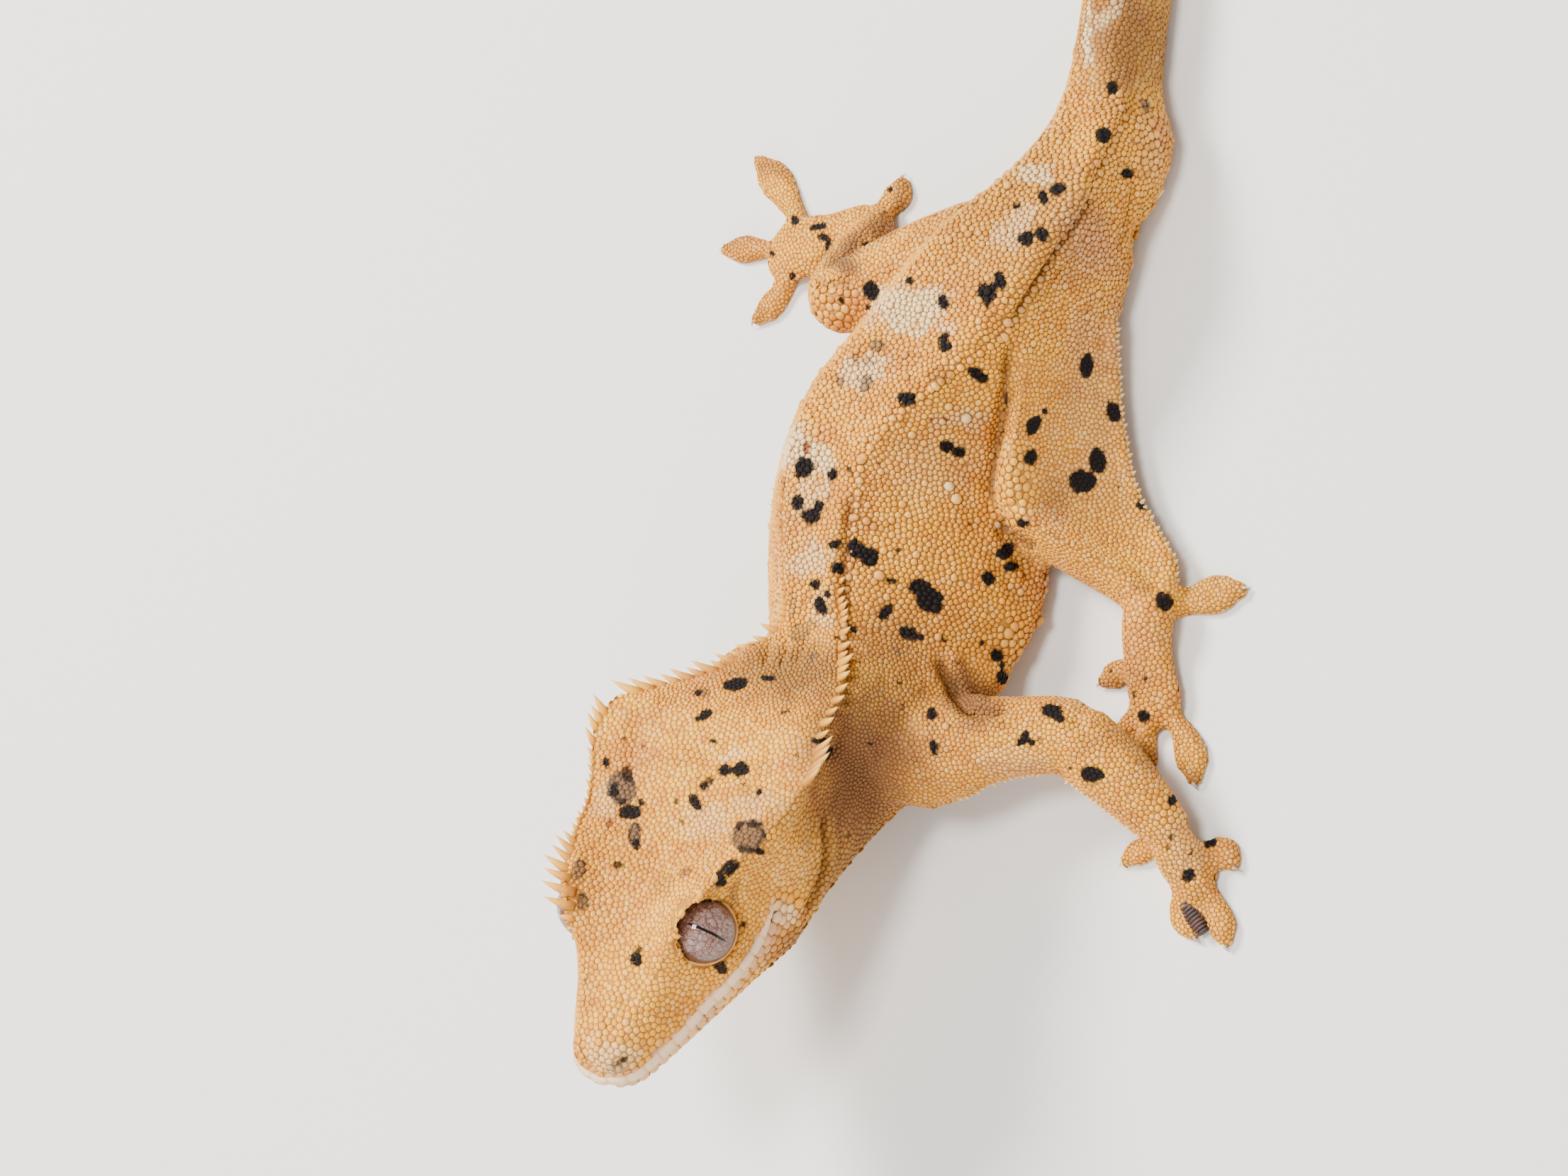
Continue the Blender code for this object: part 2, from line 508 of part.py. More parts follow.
def head_spines(rings, collection):
    """Brow fans, temple rows and the large spines at the back corners of the head."""
    forward, left, up = head_axes()
    spines = []
    for side in (1, -1):
        rows = (
            (BROW_SPINES, 0.95, 0.42, 0.30),
            (TEMPLE_SPINES, 0.9, 0.35, -0.45),
            (CORNER_SPINES, 0.80, 0.40, -0.65),
        )
        for row, out, rise, sweep in rows:
            for k, (place, length) in enumerate(row):
                fan = sweep - 0.75 * k / (len(row) - 1) if row is BROW_SPINES else sweep
                direction = left * side * out + up * rise + forward * fan
                root = crest_at(rings, head_crest_place(place), side)
                radius = SPINE_ROOT * (0.85 + 0.2 * length / 2)
                spines.append(spine(root - left * side * 0.15, direction, length, radius, collection))
    return spines


def row_spines(rings, row, collection):
    """A row of spines along each side of the nape or back, shrinking towards the tail."""
    start, end, count, first, last = row
    random = np.random.default_rng(ROW_SEED)
    spines = []
    for side in (1, -1):
        for k in range(count):
            share = k / (count - 1)
            t = start + (end - start) * share
            ring = between_rings(rings, t)
            root = ring[2 if side > 0 else -2]
            out = ring[3 if side > 0 else -3] - ring[0]
            out[2] = 0.0
            direction = out / np.linalg.norm(out) + np.array((0.0, 0.22, 0.55))
            length = (first + (last - first) * share) * random.uniform(0.88, 1.12)
            spines.append(spine(root, direction, length, SPINE_ROOT * 0.95, collection))
    return spines


def build_head(parts, cutters):
    """Head, lower jaw and both eyes."""
    keys = [head_ring(section) for section in HEAD_SECTIONS]
    steps = 2
    rings = [closed_curve(between_rings(keys, i / steps), 2) for i in range((len(keys) - 1) * steps + 1)]
    tip = head_point(SNOUT_TIP[0], 0.0, SNOUT_TIP[1])
    whole = loft("head", rings, parts, start_dome=float(np.linalg.norm(tip - rings[0].mean(axis=0))))
    jaw = bpy.data.objects.new("jaw", whole.data.copy())
    parts.objects.link(jaw)
    eyes = []
    hollows = []
    for side, label in ((1, "left"), (-1, "right")):
        def mirrored(place):
            return head_point(place[0], side * place[1], place[2])

        eyes.append(ball(f"eye_{label}", mirrored(EYE_CENTRE), (EYE_RADIUS,) * 3, parts, 20, 12))
        hollows.append(ball("socket", mirrored(EYE_CENTRE), (EYE_RADIUS + GAP,) * 3, cutters))
        hollows.append(ball("nostril", mirrored(NOSTRIL), (NOSTRIL_RADIUS,) * 3, cutters, 8, 6))
        hollows.append(ball("ear", mirrored(EAR), EAR_HALF_SIZES, cutters, 12, 8))
    combine(whole, "UNION", head_spines(keys, cutters))
    combine(whole, "DIFFERENCE", hollows + [mouth_block("mouth", GAP / 2, cutters)])
    combine(jaw, "INTERSECT", [mouth_block("mouth", -GAP / 2, cutters)])
    return [whole, jaw] + eyes


def build_body(parts, cutters):
    """Neck, trunk and tail, parted from one loft."""
    keys = [head_ring(HEAD_SECTIONS[-1])] + [body_ring(s) for s in BODY_SECTIONS]
    keys += [body_ring(s) for s in tail_sections()]
    centres = [key.mean(axis=0) for key in keys]
    last = len(keys) - 1
    built = {}
    for name, start, end in BODY_CUTS:
        def clear_of(cut):
            near = min(int(cut), last - 1)
            share = 0.6 if cut == 0 else 0.5
            return share * PARTING / np.linalg.norm(centres[near + 1] - centres[near])

        first = start + clear_of(start)
        final = end - clear_of(end) if end < last else float(last)
        per_section = 3 if name == "neck" else 2
        count = max(2, round((final - first) * per_section))
        sides = 1 if name in ("tail_middle", "tail_rear", "tail_tip") else 2
        stations = [first + (final - first) * i / count for i in range(count + 1)]
        rings = [closed_curve(between_rings(keys, station), sides) for station in stations]
        built[name] = loft(name, rings, parts, end_dome=0.5 if end >= last else 0.0, floor=0.0)
    combine(built["neck"], "UNION", row_spines(keys, NAPE_ROW, cutters))
    combine(built["torso_front"], "UNION", row_spines(keys, BACK_ROW, cutters))
    return built


def build_limb(names, lofts, digits, label, parts, cutters, roots):
    """A limb of three segments and five digits, each trimmed clear of what it grows from."""
    made = []
    for name, rings in zip(names, lofts):
        segment = loft(name, rings, parts, start_dome=0.3, end_dome=0.5, floor=0.0)
        neighbours = [grown(other, cutters) for other in roots + made[-1:]]
        combine(segment, "DIFFERENCE", neighbours)
        made.append(segment)
    beside = []
    for number, digit in enumerate(digits, 1):
        root, bend, tip, half_width = digit[0:2], digit[2:4], digit[4:6], digit[6]
        toe = loft(f"{label}_{number}", digit_rings(root, bend, tip, half_width), parts, floor=0.0)
        combine(toe, "DIFFERENCE", [grown(other, cutters) for other in made[-2:] + beside], "MANIFOLD")
        beside = [toe]


def settle(parts):
    """Carry every piece on one empty placed so that the model stands centred on its origin."""
    corners = np.array([v.co[:] for obj in parts.objects for v in obj.data.vertices])
    low, high = corners.min(axis=0), corners.max(axis=0)
    carrier = bpy.data.objects.new(OBJECT_NAME, None)
    bpy.context.scene.collection.objects.link(carrier)
    carrier.location = (-(low[0] + high[0]) / 2, -(low[1] + high[1]) / 2, -low[2])
    for obj in parts.objects:
        middle = np.mean([v.co[:] for v in obj.data.vertices], axis=0).round(4)
        for vert in obj.data.vertices:
            vert.co -= Vector(middle)
        obj.location = middle
        obj.parent = carrier
        obj.data.materials.clear()
        obj.data.materials.append(material(obj.name, EYE if obj.name.startswith("eye") else SKIN))
        obj.data.shade_smooth()
        obj.data.set_sharp_from_angle(angle=math.radians(40))


def main():
    """Build the whole animal."""
    for obj in list(bpy.data.objects):
        bpy.data.objects.remove(obj)
    parts = bpy.data.collections.new(OBJECT_NAME)
    cutters = bpy.data.collections.new("cutters")
    bpy.context.scene.collection.children.link(parts)
    bpy.context.scene.collection.children.link(cutters)
    build_head(parts, cutters)
    body = build_body(parts, cutters)
    front = [body["neck"], body["torso_front"]]
    rear = [body["torso_front"], body["torso_rear"]]
    arms = (
        ("left", UPPER_ARM_LEFT, FOREARM_LEFT, HAND_LEFT, FINGERS_LEFT),
        ("right", UPPER_ARM_RIGHT, FOREARM_RIGHT, HAND_RIGHT, FINGERS_RIGHT),
    )
    for side, upper, lower, palm, digits in arms:
        lofts = [tube_rings(sections, LIMB_SIDES, 2) for sections in (upper, lower, palm)]
        names = (f"upper_arm_{side}", f"forearm_{side}", f"hand_{side}")
        build_limb(names, lofts, digits, f"finger_{side}", parts, cutters, front)
    left_leg = [web_rings(THIGH_LEFT, 2), web_rings(SHANK_LEFT, 2), tube_rings(FOOT_LEFT, LIMB_SIDES, 2)]
    names = ("thigh_left", "shank_left", "foot_left")
    build_limb(names, left_leg, TOES_LEFT, "toe_left", parts, cutters, rear)
    right_leg = [tube_rings(sections, LIMB_SIDES, 2) for sections in (THIGH_RIGHT, SHANK_RIGHT, FOOT_RIGHT)]
    names = ("thigh_right", "shank_right", "foot_right")
    build_limb(names, right_leg, TOES_RIGHT, "toe_right", parts, cutters, rear)
    settle(parts)


main()
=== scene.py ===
"""Crested gecko at life size: skin, scales, eyes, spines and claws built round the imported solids."""
from __future__ import annotations

import json
import logging
import math
from dataclasses import dataclass, field
from enum import Enum
from typing import Any, Iterable, Sequence

import bmesh
import bpy
import numpy as np
from mathutils import Matrix, Vector
from mathutils.bvhtree import BVHTree
from mathutils.kdtree import KDTree

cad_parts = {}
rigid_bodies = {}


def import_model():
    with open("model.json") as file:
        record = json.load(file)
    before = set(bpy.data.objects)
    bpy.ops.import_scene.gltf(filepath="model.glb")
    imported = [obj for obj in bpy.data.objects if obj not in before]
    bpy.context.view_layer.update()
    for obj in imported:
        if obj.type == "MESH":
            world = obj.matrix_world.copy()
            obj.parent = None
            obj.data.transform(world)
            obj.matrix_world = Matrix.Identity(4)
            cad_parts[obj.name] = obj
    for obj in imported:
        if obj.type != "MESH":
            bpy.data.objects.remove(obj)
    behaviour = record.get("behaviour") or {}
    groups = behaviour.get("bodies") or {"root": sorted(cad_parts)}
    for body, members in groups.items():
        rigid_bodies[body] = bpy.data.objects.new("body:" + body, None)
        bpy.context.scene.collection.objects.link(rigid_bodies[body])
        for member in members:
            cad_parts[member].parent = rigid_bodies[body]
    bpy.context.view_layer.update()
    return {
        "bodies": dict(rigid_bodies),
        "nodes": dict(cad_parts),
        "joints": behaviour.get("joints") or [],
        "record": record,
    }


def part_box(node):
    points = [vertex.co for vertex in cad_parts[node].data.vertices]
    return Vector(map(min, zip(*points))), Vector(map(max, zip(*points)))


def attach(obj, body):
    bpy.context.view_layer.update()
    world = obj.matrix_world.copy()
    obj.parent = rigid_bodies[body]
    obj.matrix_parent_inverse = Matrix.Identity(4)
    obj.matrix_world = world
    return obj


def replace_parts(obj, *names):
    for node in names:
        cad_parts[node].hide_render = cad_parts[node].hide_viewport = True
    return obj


LOG = logging.getLogger("gecko")
MM = 0.001
BODY = "root"
UV_NAME = "OFBake"

Array = np.ndarray
Row = tuple[float, ...]
Point = tuple[float, float, float]
Pixels = tuple[tuple[float, float], ...]
Mesh = bpy.types.Mesh
Material = bpy.types.Material
Piece = bpy.types.Object
Body = bmesh.types.BMesh


class Tone(Enum):
    """The pigments that the skin and its scales carry, each kept as one attribute; the brownish one also
    holds painted shade.
    """

    DARK = "tone_dark"
    FADED = "tone_faded"
    RUST = "tone_rust"
    PALE = "tone_pale"
    # Brownish colour that is partly the skin's own and partly painted shade in hollows, folds and along the
    # line of the mouth
    BROWN = "tone_brown"
    GOLD = "tone_gold"
    ROSE = "tone_rose"
    LIP = "tone_lip"


def marks(strength: float, *ovals: Row) -> tuple[Row, ...]:
    """Marks of one strength, from x, y, width and height in view pixels and their turn if they lean."""
    return tuple((*oval[:4], *(oval[4:] or (0,)), strength) for oval in ovals)


# Dark marks as the view shows them
DARK_MARKS: tuple[Row, ...] = (
    *marks(
        1.0,
        (1569, 123, 14, 17), (1557, 191, 20, 19), (1591, 246, 14, 14), (1492, 267, 20, 15, 15),
        (1472, 280, 12, 20, 15), (1434, 290, 11, 8, 10), (1448, 337, 20, 19, 20), (1471, 331, 16, 22, 15),
        (1412, 396, 14, 28, 15), (1399, 411, 18, 20), (1386, 410, 15, 20), (1393, 426, 10, 14),
        (1331, 427, 13, 18, 15), (1333, 484, 18, 22), (1229, 410, 19, 26, 10), (1278, 562, 24, 18),
        (1380, 529, 27, 14, -32), (1135, 660, 25, 25), (1174, 669, 13, 14), (1125, 709, 15, 20),
        (1156, 714, 13, 15), (1144, 728, 23, 20), (1337, 630, 18, 16), (1352, 638, 20, 14),
        (1457, 600, 18, 25, -20), (1454, 645, 18, 20), (1534, 516, 17, 31), (1570, 580, 19, 26, 15),
        (1548, 650, 21, 31), (1527, 680, 34, 28), (1611, 712, 17, 15), (1444, 738, 16, 11, -15),
        (1178, 768, 17, 12), (1207, 775, 20, 26, 15), (1227, 786, 26, 24, -10), (1419, 777, 16, 26, -40),
        (1425, 799, 17, 12), (1394, 816, 17, 18), (1182, 801, 15, 16), (1258, 820, 15, 9),
        (1149, 825, 14, 14), (1158, 855, 15, 25, 25), (1296, 828, 26, 20), (1312, 848, 36, 30, -20),
        (1250, 863, 14, 26, -40), (1280, 892, 20, 16), (1293, 898, 18, 12), (1203, 888, 16, 8, -35),
        (1330, 902, 12, 8, -30), (1406, 924, 20, 17), (1414, 956, 16, 18), (1315, 1007, 14, 15),
        (1318, 1054, 11, 22, 15), (1170, 1062, 6, 20, -25), (1158, 1045, 26, 9), (1444, 1042, 12, 22, -40),
        (1483, 1003, 28, 18), (1494, 1014, 15, 11), (1540, 1093, 28, 20), (1653, 1129, 11, 14),
        (1708, 1186, 15, 17), (1677, 1236, 19, 18), (1642, 848, 22, 25, 20), (1614, 1011, 16, 16),
        (1122, 311, 12, 15), (1154, 320, 22, 9, 15), (1090, 358, 7, 7), (1037, 966, 31, 17, 12),
        (1083, 957, 19, 8, -5), (995, 1009, 20, 12, 35), (984, 1014, 10, 8), (855, 1077, 9, 14),
        (1023, 1086, 19, 17), (1044, 1085, 20, 20), (993, 1109, 13, 12)),
    *marks(
        0.95,
        (890, 1146, 31, 18), (1014, 1240, 16, 19, 20), (897, 1352, 16, 20, 30)),
    *marks(
        0.9,
        (1224, 433, 8, 8), (1283, 396, 9, 9), (1186, 424, 9, 9), (1465, 592, 8, 14), (1474, 581, 7, 7),
        (1168, 838, 9, 8), (1385, 907, 6, 6), (1414, 938, 8, 9), (1455, 1048, 9, 8), (1160, 334, 14, 10),
        (1168, 345, 6, 14, -15), (1118, 389, 9, 10), (1222, 345, 11, 6), (1256, 268, 6, 10, -25),
        (985, 979, 9, 8), (1005, 1046, 10, 6), (1071, 1117, 8, 8), (981, 1132, 13, 26, 35),
        (905, 1132, 11, 11), (898, 1190, 10, 14), (1030, 1224, 24, 16, 30), (1073, 1201, 12, 10)),
    *marks(
        0.85,
        (866, 1116, 12, 20), (1015, 1363, 14, 25, 35), (881, 1494, 9, 7, 42)),
    *marks(
        0.8,
        (1196, 408, 5, 8), (1420, 562, 4, 16), (1198, 662, 9, 8), (1268, 776, 8, 6), (1180, 899, 8, 5),
        (1268, 963, 8, 5), (1228, 1049, 9, 5, -20), (1509, 1083, 5, 5), (1652, 1181, 5, 9),
        (1680, 1204, 5, 6), (1616, 959, 5, 9), (1567, 947, 6, 7), (1600, 980, 5, 10), (880, 1042, 5, 5),
        (1002, 1101, 10, 10), (885, 1092, 14, 22, 15), (954, 1131, 5, 7), (1042, 1166, 10, 14),
        (1066, 1163, 22, 8), (901, 1340, 8, 16, -20), (1048, 1304, 8, 8), (872, 1220, 11, 9),
        (1107, 1005, 15, 4, 15), (1741, 1330, 8, 14)),
    *marks(
        0.7,
        (1273, 997, 4, 8), (1467, 1042, 5, 5), (1647, 1196, 6, 8), (1650, 1233, 5, 5),
        (962, 1160, 5, 11, 20), (826, 1382, 4, 6), (831, 1375, 5, 6), (1124, 1066, 6, 5), (1368, 738, 7, 5),
        (1579, 687, 5, 6), (1412, 524, 4, 4), (1320, 301, 5, 10, 20), (1723, 1347, 5, 5)),
    *marks(
        0.6,
        (1197, 1179, 6, 8), (1283, 878, 5, 4)),
)

# Marks that have faded to grey brown, and small rusty ones: x, y, width, height, turn, strength
FADED_MARKS: tuple[Row, ...] = (
    (1616, 149, 11, 18, 30, 0.75), (1505, 183, 8, 14, 10, 0.45), (1474, 195, 6, 6, 0, 0.4),
    (1238, 487, 21, 19, 0, 0.62), (1208, 506, 9, 20, 0, 0.5), (1225, 510, 14, 9, 0, 0.5),
    (1186, 538, 14, 15, 0, 0.6), (1222, 541, 17, 24, -15, 0.65), (1213, 563, 8, 8, 0, 0.5),
    (1163, 562, 9, 10, 0, 0.4), (1385, 593, 10, 7, 0, 0.45), (1561, 521, 7, 12, 0, 0.5),
    (878, 1112, 38, 42, 0, 0.8), (895, 1178, 16, 30, 0, 0.8), (1056, 1180, 44, 42, 0, 0.75),
    (817, 1225, 18, 28, 0, 0.7), (823, 1272, 16, 23, 0, 0.7), (991, 977, 18, 12, 0, 0.6),
    (1147, 927, 8, 16, -35, 0.6), (1266, 920, 9, 14, 20, 0.5), (1118, 855, 14, 40, 0, 0.45),
    (1128, 893, 24, 26, 0, 0.5), (1145, 880, 18, 10, 0, 0.5), (1090, 412, 6, 8, 0, 0.4),
    (1086, 349, 4, 7, 0, 0.5), (829, 1388, 12, 16, 0, 0.25), (1108, 930, 30, 14, 0, 0.25))
RUST_MARKS: tuple[Row, ...] = (
    (1138, 633, 11, 17, 0, 0.85), (1314, 592, 7, 5, 0, 0.9), (1334, 592, 7, 5, 0, 0.9),
    (1239, 654, 6, 6, 0, 0.7), (1105, 682, 6, 18, 0, 0.6), (907, 1053, 6, 11, 0, 0.9),
    (1050, 1106, 8, 6, 0, 0.7), (860, 1160, 6, 14, -25, 0.8), (967, 1231, 16, 13, 0, 0.6),
    (1276, 595, 6, 10, 0, 0.5), (1325, 530, 34, 24, 0, 0.5), (1599, 772, 8, 8, 0, 0.5),
    (1350, 935, 10, 7, 0, 0.6), (845, 1391, 8, 8, 0, 0.5), (1200, 735, 8, 40, 0, 0.4),
    (1193, 820, 8, 60, 0, 0.45), (1290, 545, 12, 40, 40, 0.35), (1206, 790, 14, 34, 0, 0.4))

# Broad soft colour by tone: x, y, width, height, turn, strength. The brownish zones are partly the skin's own
# colour and partly painted shade, as on the neck under the crest, in the head's hollows and on the shaded
# foot.
BROAD: dict[Tone, tuple[Row, ...]] = {
    Tone.PALE: (
        (1282, 432, 120, 72, -8, 0.95), (1218, 528, 84, 46, 10, 0.75), (1140, 640, 82, 70, 0, 0.95),
        (1150, 795, 70, 50, 0, 0.6), (1140, 700, 60, 60, 0, 0.55), (1160, 850, 40, 70, 0, 0.45),
        (1460, 245, 50, 34, -10, 0.75), (1425, 335, 60, 50, 0, 0.5), (1440, 305, 50, 30, 20, 0.45),
        (1362, 590, 14, 12, 0, 0.9), (1338, 687, 12, 10, 0, 1.0), (1350, 590, 80, 40, 0, 0.35),
        (1060, 1135, 110, 40, 15, 0.25), (1032, 1066, 50, 14, 10, 0.45), (1000, 1155, 90, 60, 0, 0.3),
        (862, 1490, 70, 60, 0, 0.5), (1420, 1075, 120, 40, 0, 0.2), (1535, 50, 13, 110, 0, 0.95),
        (1566, 20, 60, 20, 40, 0.5), (860, 1130, 40, 60, 0, 0.3), (1542, 90, 10, 60, 0, 0.3),
        (1112, 1285, 34, 40, 0, 0.8), (1320, 660, 150, 110, 0, 0.18), (1540, 560, 120, 260, 0, 0.16),
        (1120, 1225, 60, 60, 0, 0.12), (1670, 1200, 80, 80, 0, 0.2), (850, 1530, 70, 34, 20, 0.5)),
    Tone.GOLD: (
        (1560, 1080, 220, 60, 30, 0.8), (1650, 1190, 110, 110, 0, 0.6), (1110, 1200, 120, 130, 0, 0.85),
        (960, 1370, 150, 120, 0, 0.5), (1450, 480, 60, 100, 0, 0.5), (1330, 760, 220, 160, 0, 0.35),
        (1130, 370, 140, 100, 0, 0.4), (1000, 1040, 200, 60, 0, 0.3), (1340, 700, 34, 20, 0, 0.8),
        (1250, 600, 120, 80, 0, 0.3), (1480, 1040, 160, 70, 10, 0.6), (1430, 290, 300, 260, -40, 0.55),
        (1130, 950, 120, 80, 0, 0.4), (1570, 720, 120, 120, 0, 0.5), (1120, 760, 100, 260, 0, 0.35),
        (1110, 1150, 84, 70, 40, 0.8)),
    Tone.ROSE: (
        (1530, 340, 90, 170, 25, 0.75), (1570, 470, 50, 160, 0, 0.5), (1520, 680, 170, 110, 0, 0.35),
        (1490, 720, 90, 60, 0, 0.4), (1500, 830, 160, 80, -35, 0.35), (1630, 210, 60, 120, 0, 0.45),
        (1600, 900, 60, 160, 0, 0.2), (1560, 480, 110, 150, 0, 0.3), (1120, 760, 90, 160, 0, 0.2)),
    Tone.BROWN: (
        (1350, 974, 100, 26, -56, 0.95), (1398, 1007, 66, 20, 5, 0.85), (871, 1503, 40, 19, 30, 0.95),
        (1215, 1090, 190, 400, -4, 0.95), (1262, 960, 150, 260, 0, 0.62), (1150, 1120, 40, 50, 30, 0.7),
        (1172, 1225, 60, 150, -25, 0.75), (1124, 1330, 50, 130, -38, 0.6), (1100, 945, 210, 90, -6, 0.68),
        (1200, 350, 90, 34, 50, 0.9), (1240, 320, 50, 50, 0, 0.8), (1270, 285, 22, 60, 10, 0.6),
        (1095, 240, 40, 20, -40, 0.45), (1045, 332, 60, 14, 0, 0.55), (1490, 700, 60, 70, 0, 0.35),
        (1195, 850, 16, 140, 0, 0.6), (935, 1250, 60, 30, 40, 0.35), (1035, 1262, 16, 60, -15, 0.6),
        (1580, 1010, 60, 26, 0, 0.3), (1570, 960, 60, 40, 0, 0.4), (1690, 1270, 50, 40, 0, 0.3),
        (1560, 1040, 110, 22, 25, 0.3), (1675, 1090, 30, 60, 0, 0.25), (1620, 1082, 90, 20, -35, 0.45),
        (1092, 1158, 150, 22, 50, 0.5), (1060, 1120, 60, 50, 0, 0.22), (1340, 880, 130, 90, 0, 0.14),
        (1190, 372, 70, 40, -30, 0.9), (1683, 1105, 26, 40, 0, 0.5), (1548, 965, 30, 26, 0, 0.5),
        (1735, 1185, 34, 30, 0, 0.3), (1078, 236, 22, 44, -20, 0.45), (1030, 346, 40, 22, 0, 0.4),
        (1070, 440, 30, 34, 0, 0.35), (1272, 262, 26, 34, 10, 0.5), (1610, 1060, 150, 40, -38, 0.5),
        (1300, 990, 150, 150, 0, 0.22), (1430, 290, 320, 280, -40, 0.34), (1570, 720, 130, 130, 0, 0.28),
        (1590, 50, 170, 220, 0, 0.78), (1366, 984, 130, 90, -40, 0.92), (1590, 960, 90, 110, 0, 0.25),
        (1700, 830, 110, 50, 0, 0.2), (1114, 1150, 80, 60, 40, 0.32), (1235, 1060, 190, 300, 0, 0.85),
        (1125, 950, 190, 110, 0, 0.8), (1162, 1180, 30, 150, 0, 0.6)),
}


def srgb(red: float, green: float, blue: float) -> tuple[float, float, float, float]:
    """A colour written in display values from 0 to 255, as linear light.

    Args:
        red: Red.
        green: Green.
        blue: Blue.

    Returns:
        The linear colour, with full alpha.
    """
    def linear(level: float) -> float:
        """One channel."""
        share = level / 255.0
        return share / 12.92 if share <= 0.04045 else ((share + 0.055) / 1.055) ** 2.4

    return (linear(red), linear(green), linear(blue), 1.0)


def unit(vectors: Array) -> Array:
    """Vectors scaled to length one along their last axis."""
    return vectors / np.maximum(np.linalg.norm(vectors, axis=-1, keepdims=True), 1e-12)


def smoothstep(low: float, high: float, values: Array) -> Array:
    """A soft step from 0 at low to 1 at high."""
    share = np.clip((values - low) / (high - low), 0.0, 1.0)
    return share * share * (3.0 - 2.0 * share)


def distances_along(line: Array) -> Array:
    """How far along a line each of its points lies."""
    return np.concatenate(([0.0], np.cumsum(np.linalg.norm(np.diff(line, axis=0), axis=1))))


def by_start(table: Sequence[tuple[str, float]], names: Sequence[str]) -> Array:
    """A number for each name, from the first row of a table that it starts with."""
    return np.array([next(value for start, value in table if name.startswith(start)) for name in names])


def lattice_noise(points: Array, scale: float, seed: int) -> Array:
    """Smooth noise from -1 to 1 at points, with features about one scale across.

    Args:
        points: Where it is read, in millimetres.
        scale: The size of its features.
        seed: Which noise it is.

    Returns:
        One number for each point.
    """
    cells = points / scale + 517.0 + seed * 3.17
    base = np.floor(cells).astype(np.int64)
    share = cells - base
    share = share * share * (3.0 - 2.0 * share)
    total = np.zeros(len(points))
    for corner in range(8):
        bits = np.array([(corner >> axis) & 1 for axis in range(3)])
        key = base + bits
        mixed = (key[:, 0] * 73856093) ^ (key[:, 1] * 19349663) ^ (key[:, 2] * 83492791) ^ (seed * 2654435761)
        mixed = (mixed ^ (mixed >> 13)) * 1274126177 & 0x7FFFFFFF
        value = (mixed % 65536) / 32767.5 - 1.0
        weight = np.prod(np.where(bits == 1, share, 1.0 - share), axis=1)
        total += value * weight
    return total


def layered_noise(points: Array, layers: tuple[tuple[float, int, float], ...]) -> Array:
    """The sum of noises, each given as its scale, seed and strength."""
    return sum(lattice_noise(points, scale, seed) * share for scale, seed, share in layers)


def oval(seen: Array, x: float, y: float, width: float, height: float, turn: float) -> Array:
    """How far view pixels lie from an oval's middle, 1 on its rim, with its turn in degrees to the left.

    Args:
        seen: View pixels.
        x: Its middle across.
        y: Its middle down.
        width: Its width.
        height: Its height.
        turn: Its turn.

    Returns:
        One number for each pixel.
    """
    angle = math.radians(turn)
    across, down = seen[:, 0] - x, y - seen[:, 1]
    u = (across * math.cos(angle) + down * math.sin(angle)) / (width / 2)
    v = (down * math.cos(angle) - across * math.sin(angle)) / (height / 2)
    return np.hypot(u, v)


@dataclass(frozen=True)
class Lens:
    """The camera's place and reach, in the model's own millimetres."""

    tilt_x: float = math.radians(32.0)
    tilt_y: float = math.radians(18.0)
    distance: float = 250.0
    scale: float = 17.1
    width: int = 2212
    height: int = 1659
    target: Point = (8.0, 4.0, 9.0)
    sensor: float = 36.0

    def axes(self) -> tuple[Array, Array, Array]:
        """Unit vectors towards the camera, up the picture and to its right.

        Returns:
            Three vectors in the model's axes.
        """
        toward = unit(np.array((math.tan(self.tilt_x), -math.tan(self.tilt_y), 1.0)))
        up = unit(np.array((0.0, 1.0, 0.0)) - toward * toward[1])
        return toward, up, np.cross(up, toward)

    def toward(self) -> Array:
        """The unit vector towards the camera."""
        return self.axes()[0]

    def focal(self) -> float:
        """Focal length in picture pixels."""
        return self.scale * self.distance

    def project(self, points: Array) -> Array:
        """Picture coordinates of model points.

        Args:
            points: Places in model millimetres.

        Returns:
            Pixels across and down.
        """
        toward, up, right = self.axes()
        away = points - np.array(self.target)
        depth = self.distance - away @ toward
        across = self.width / 2 + self.focal() * (away @ right) / depth
        down = self.height / 2 - self.focal() * (away @ up) / depth
        return np.stack((across, down), axis=-1)

    def ray(self, across: float, down: float) -> tuple[Array, Array]:
        """The camera's place and the direction of one picture point, in model millimetres.

        Args:
            across: Pixels from the left.
            down: Pixels from the top.

        Returns:
            A place and a unit vector.
        """
        toward, up, right = self.axes()
        place = np.array(self.target) + toward * self.distance
        aim = right * (across - self.width / 2) / self.focal() - up * (down - self.height / 2) / self.focal()
        return place, unit(aim - toward)


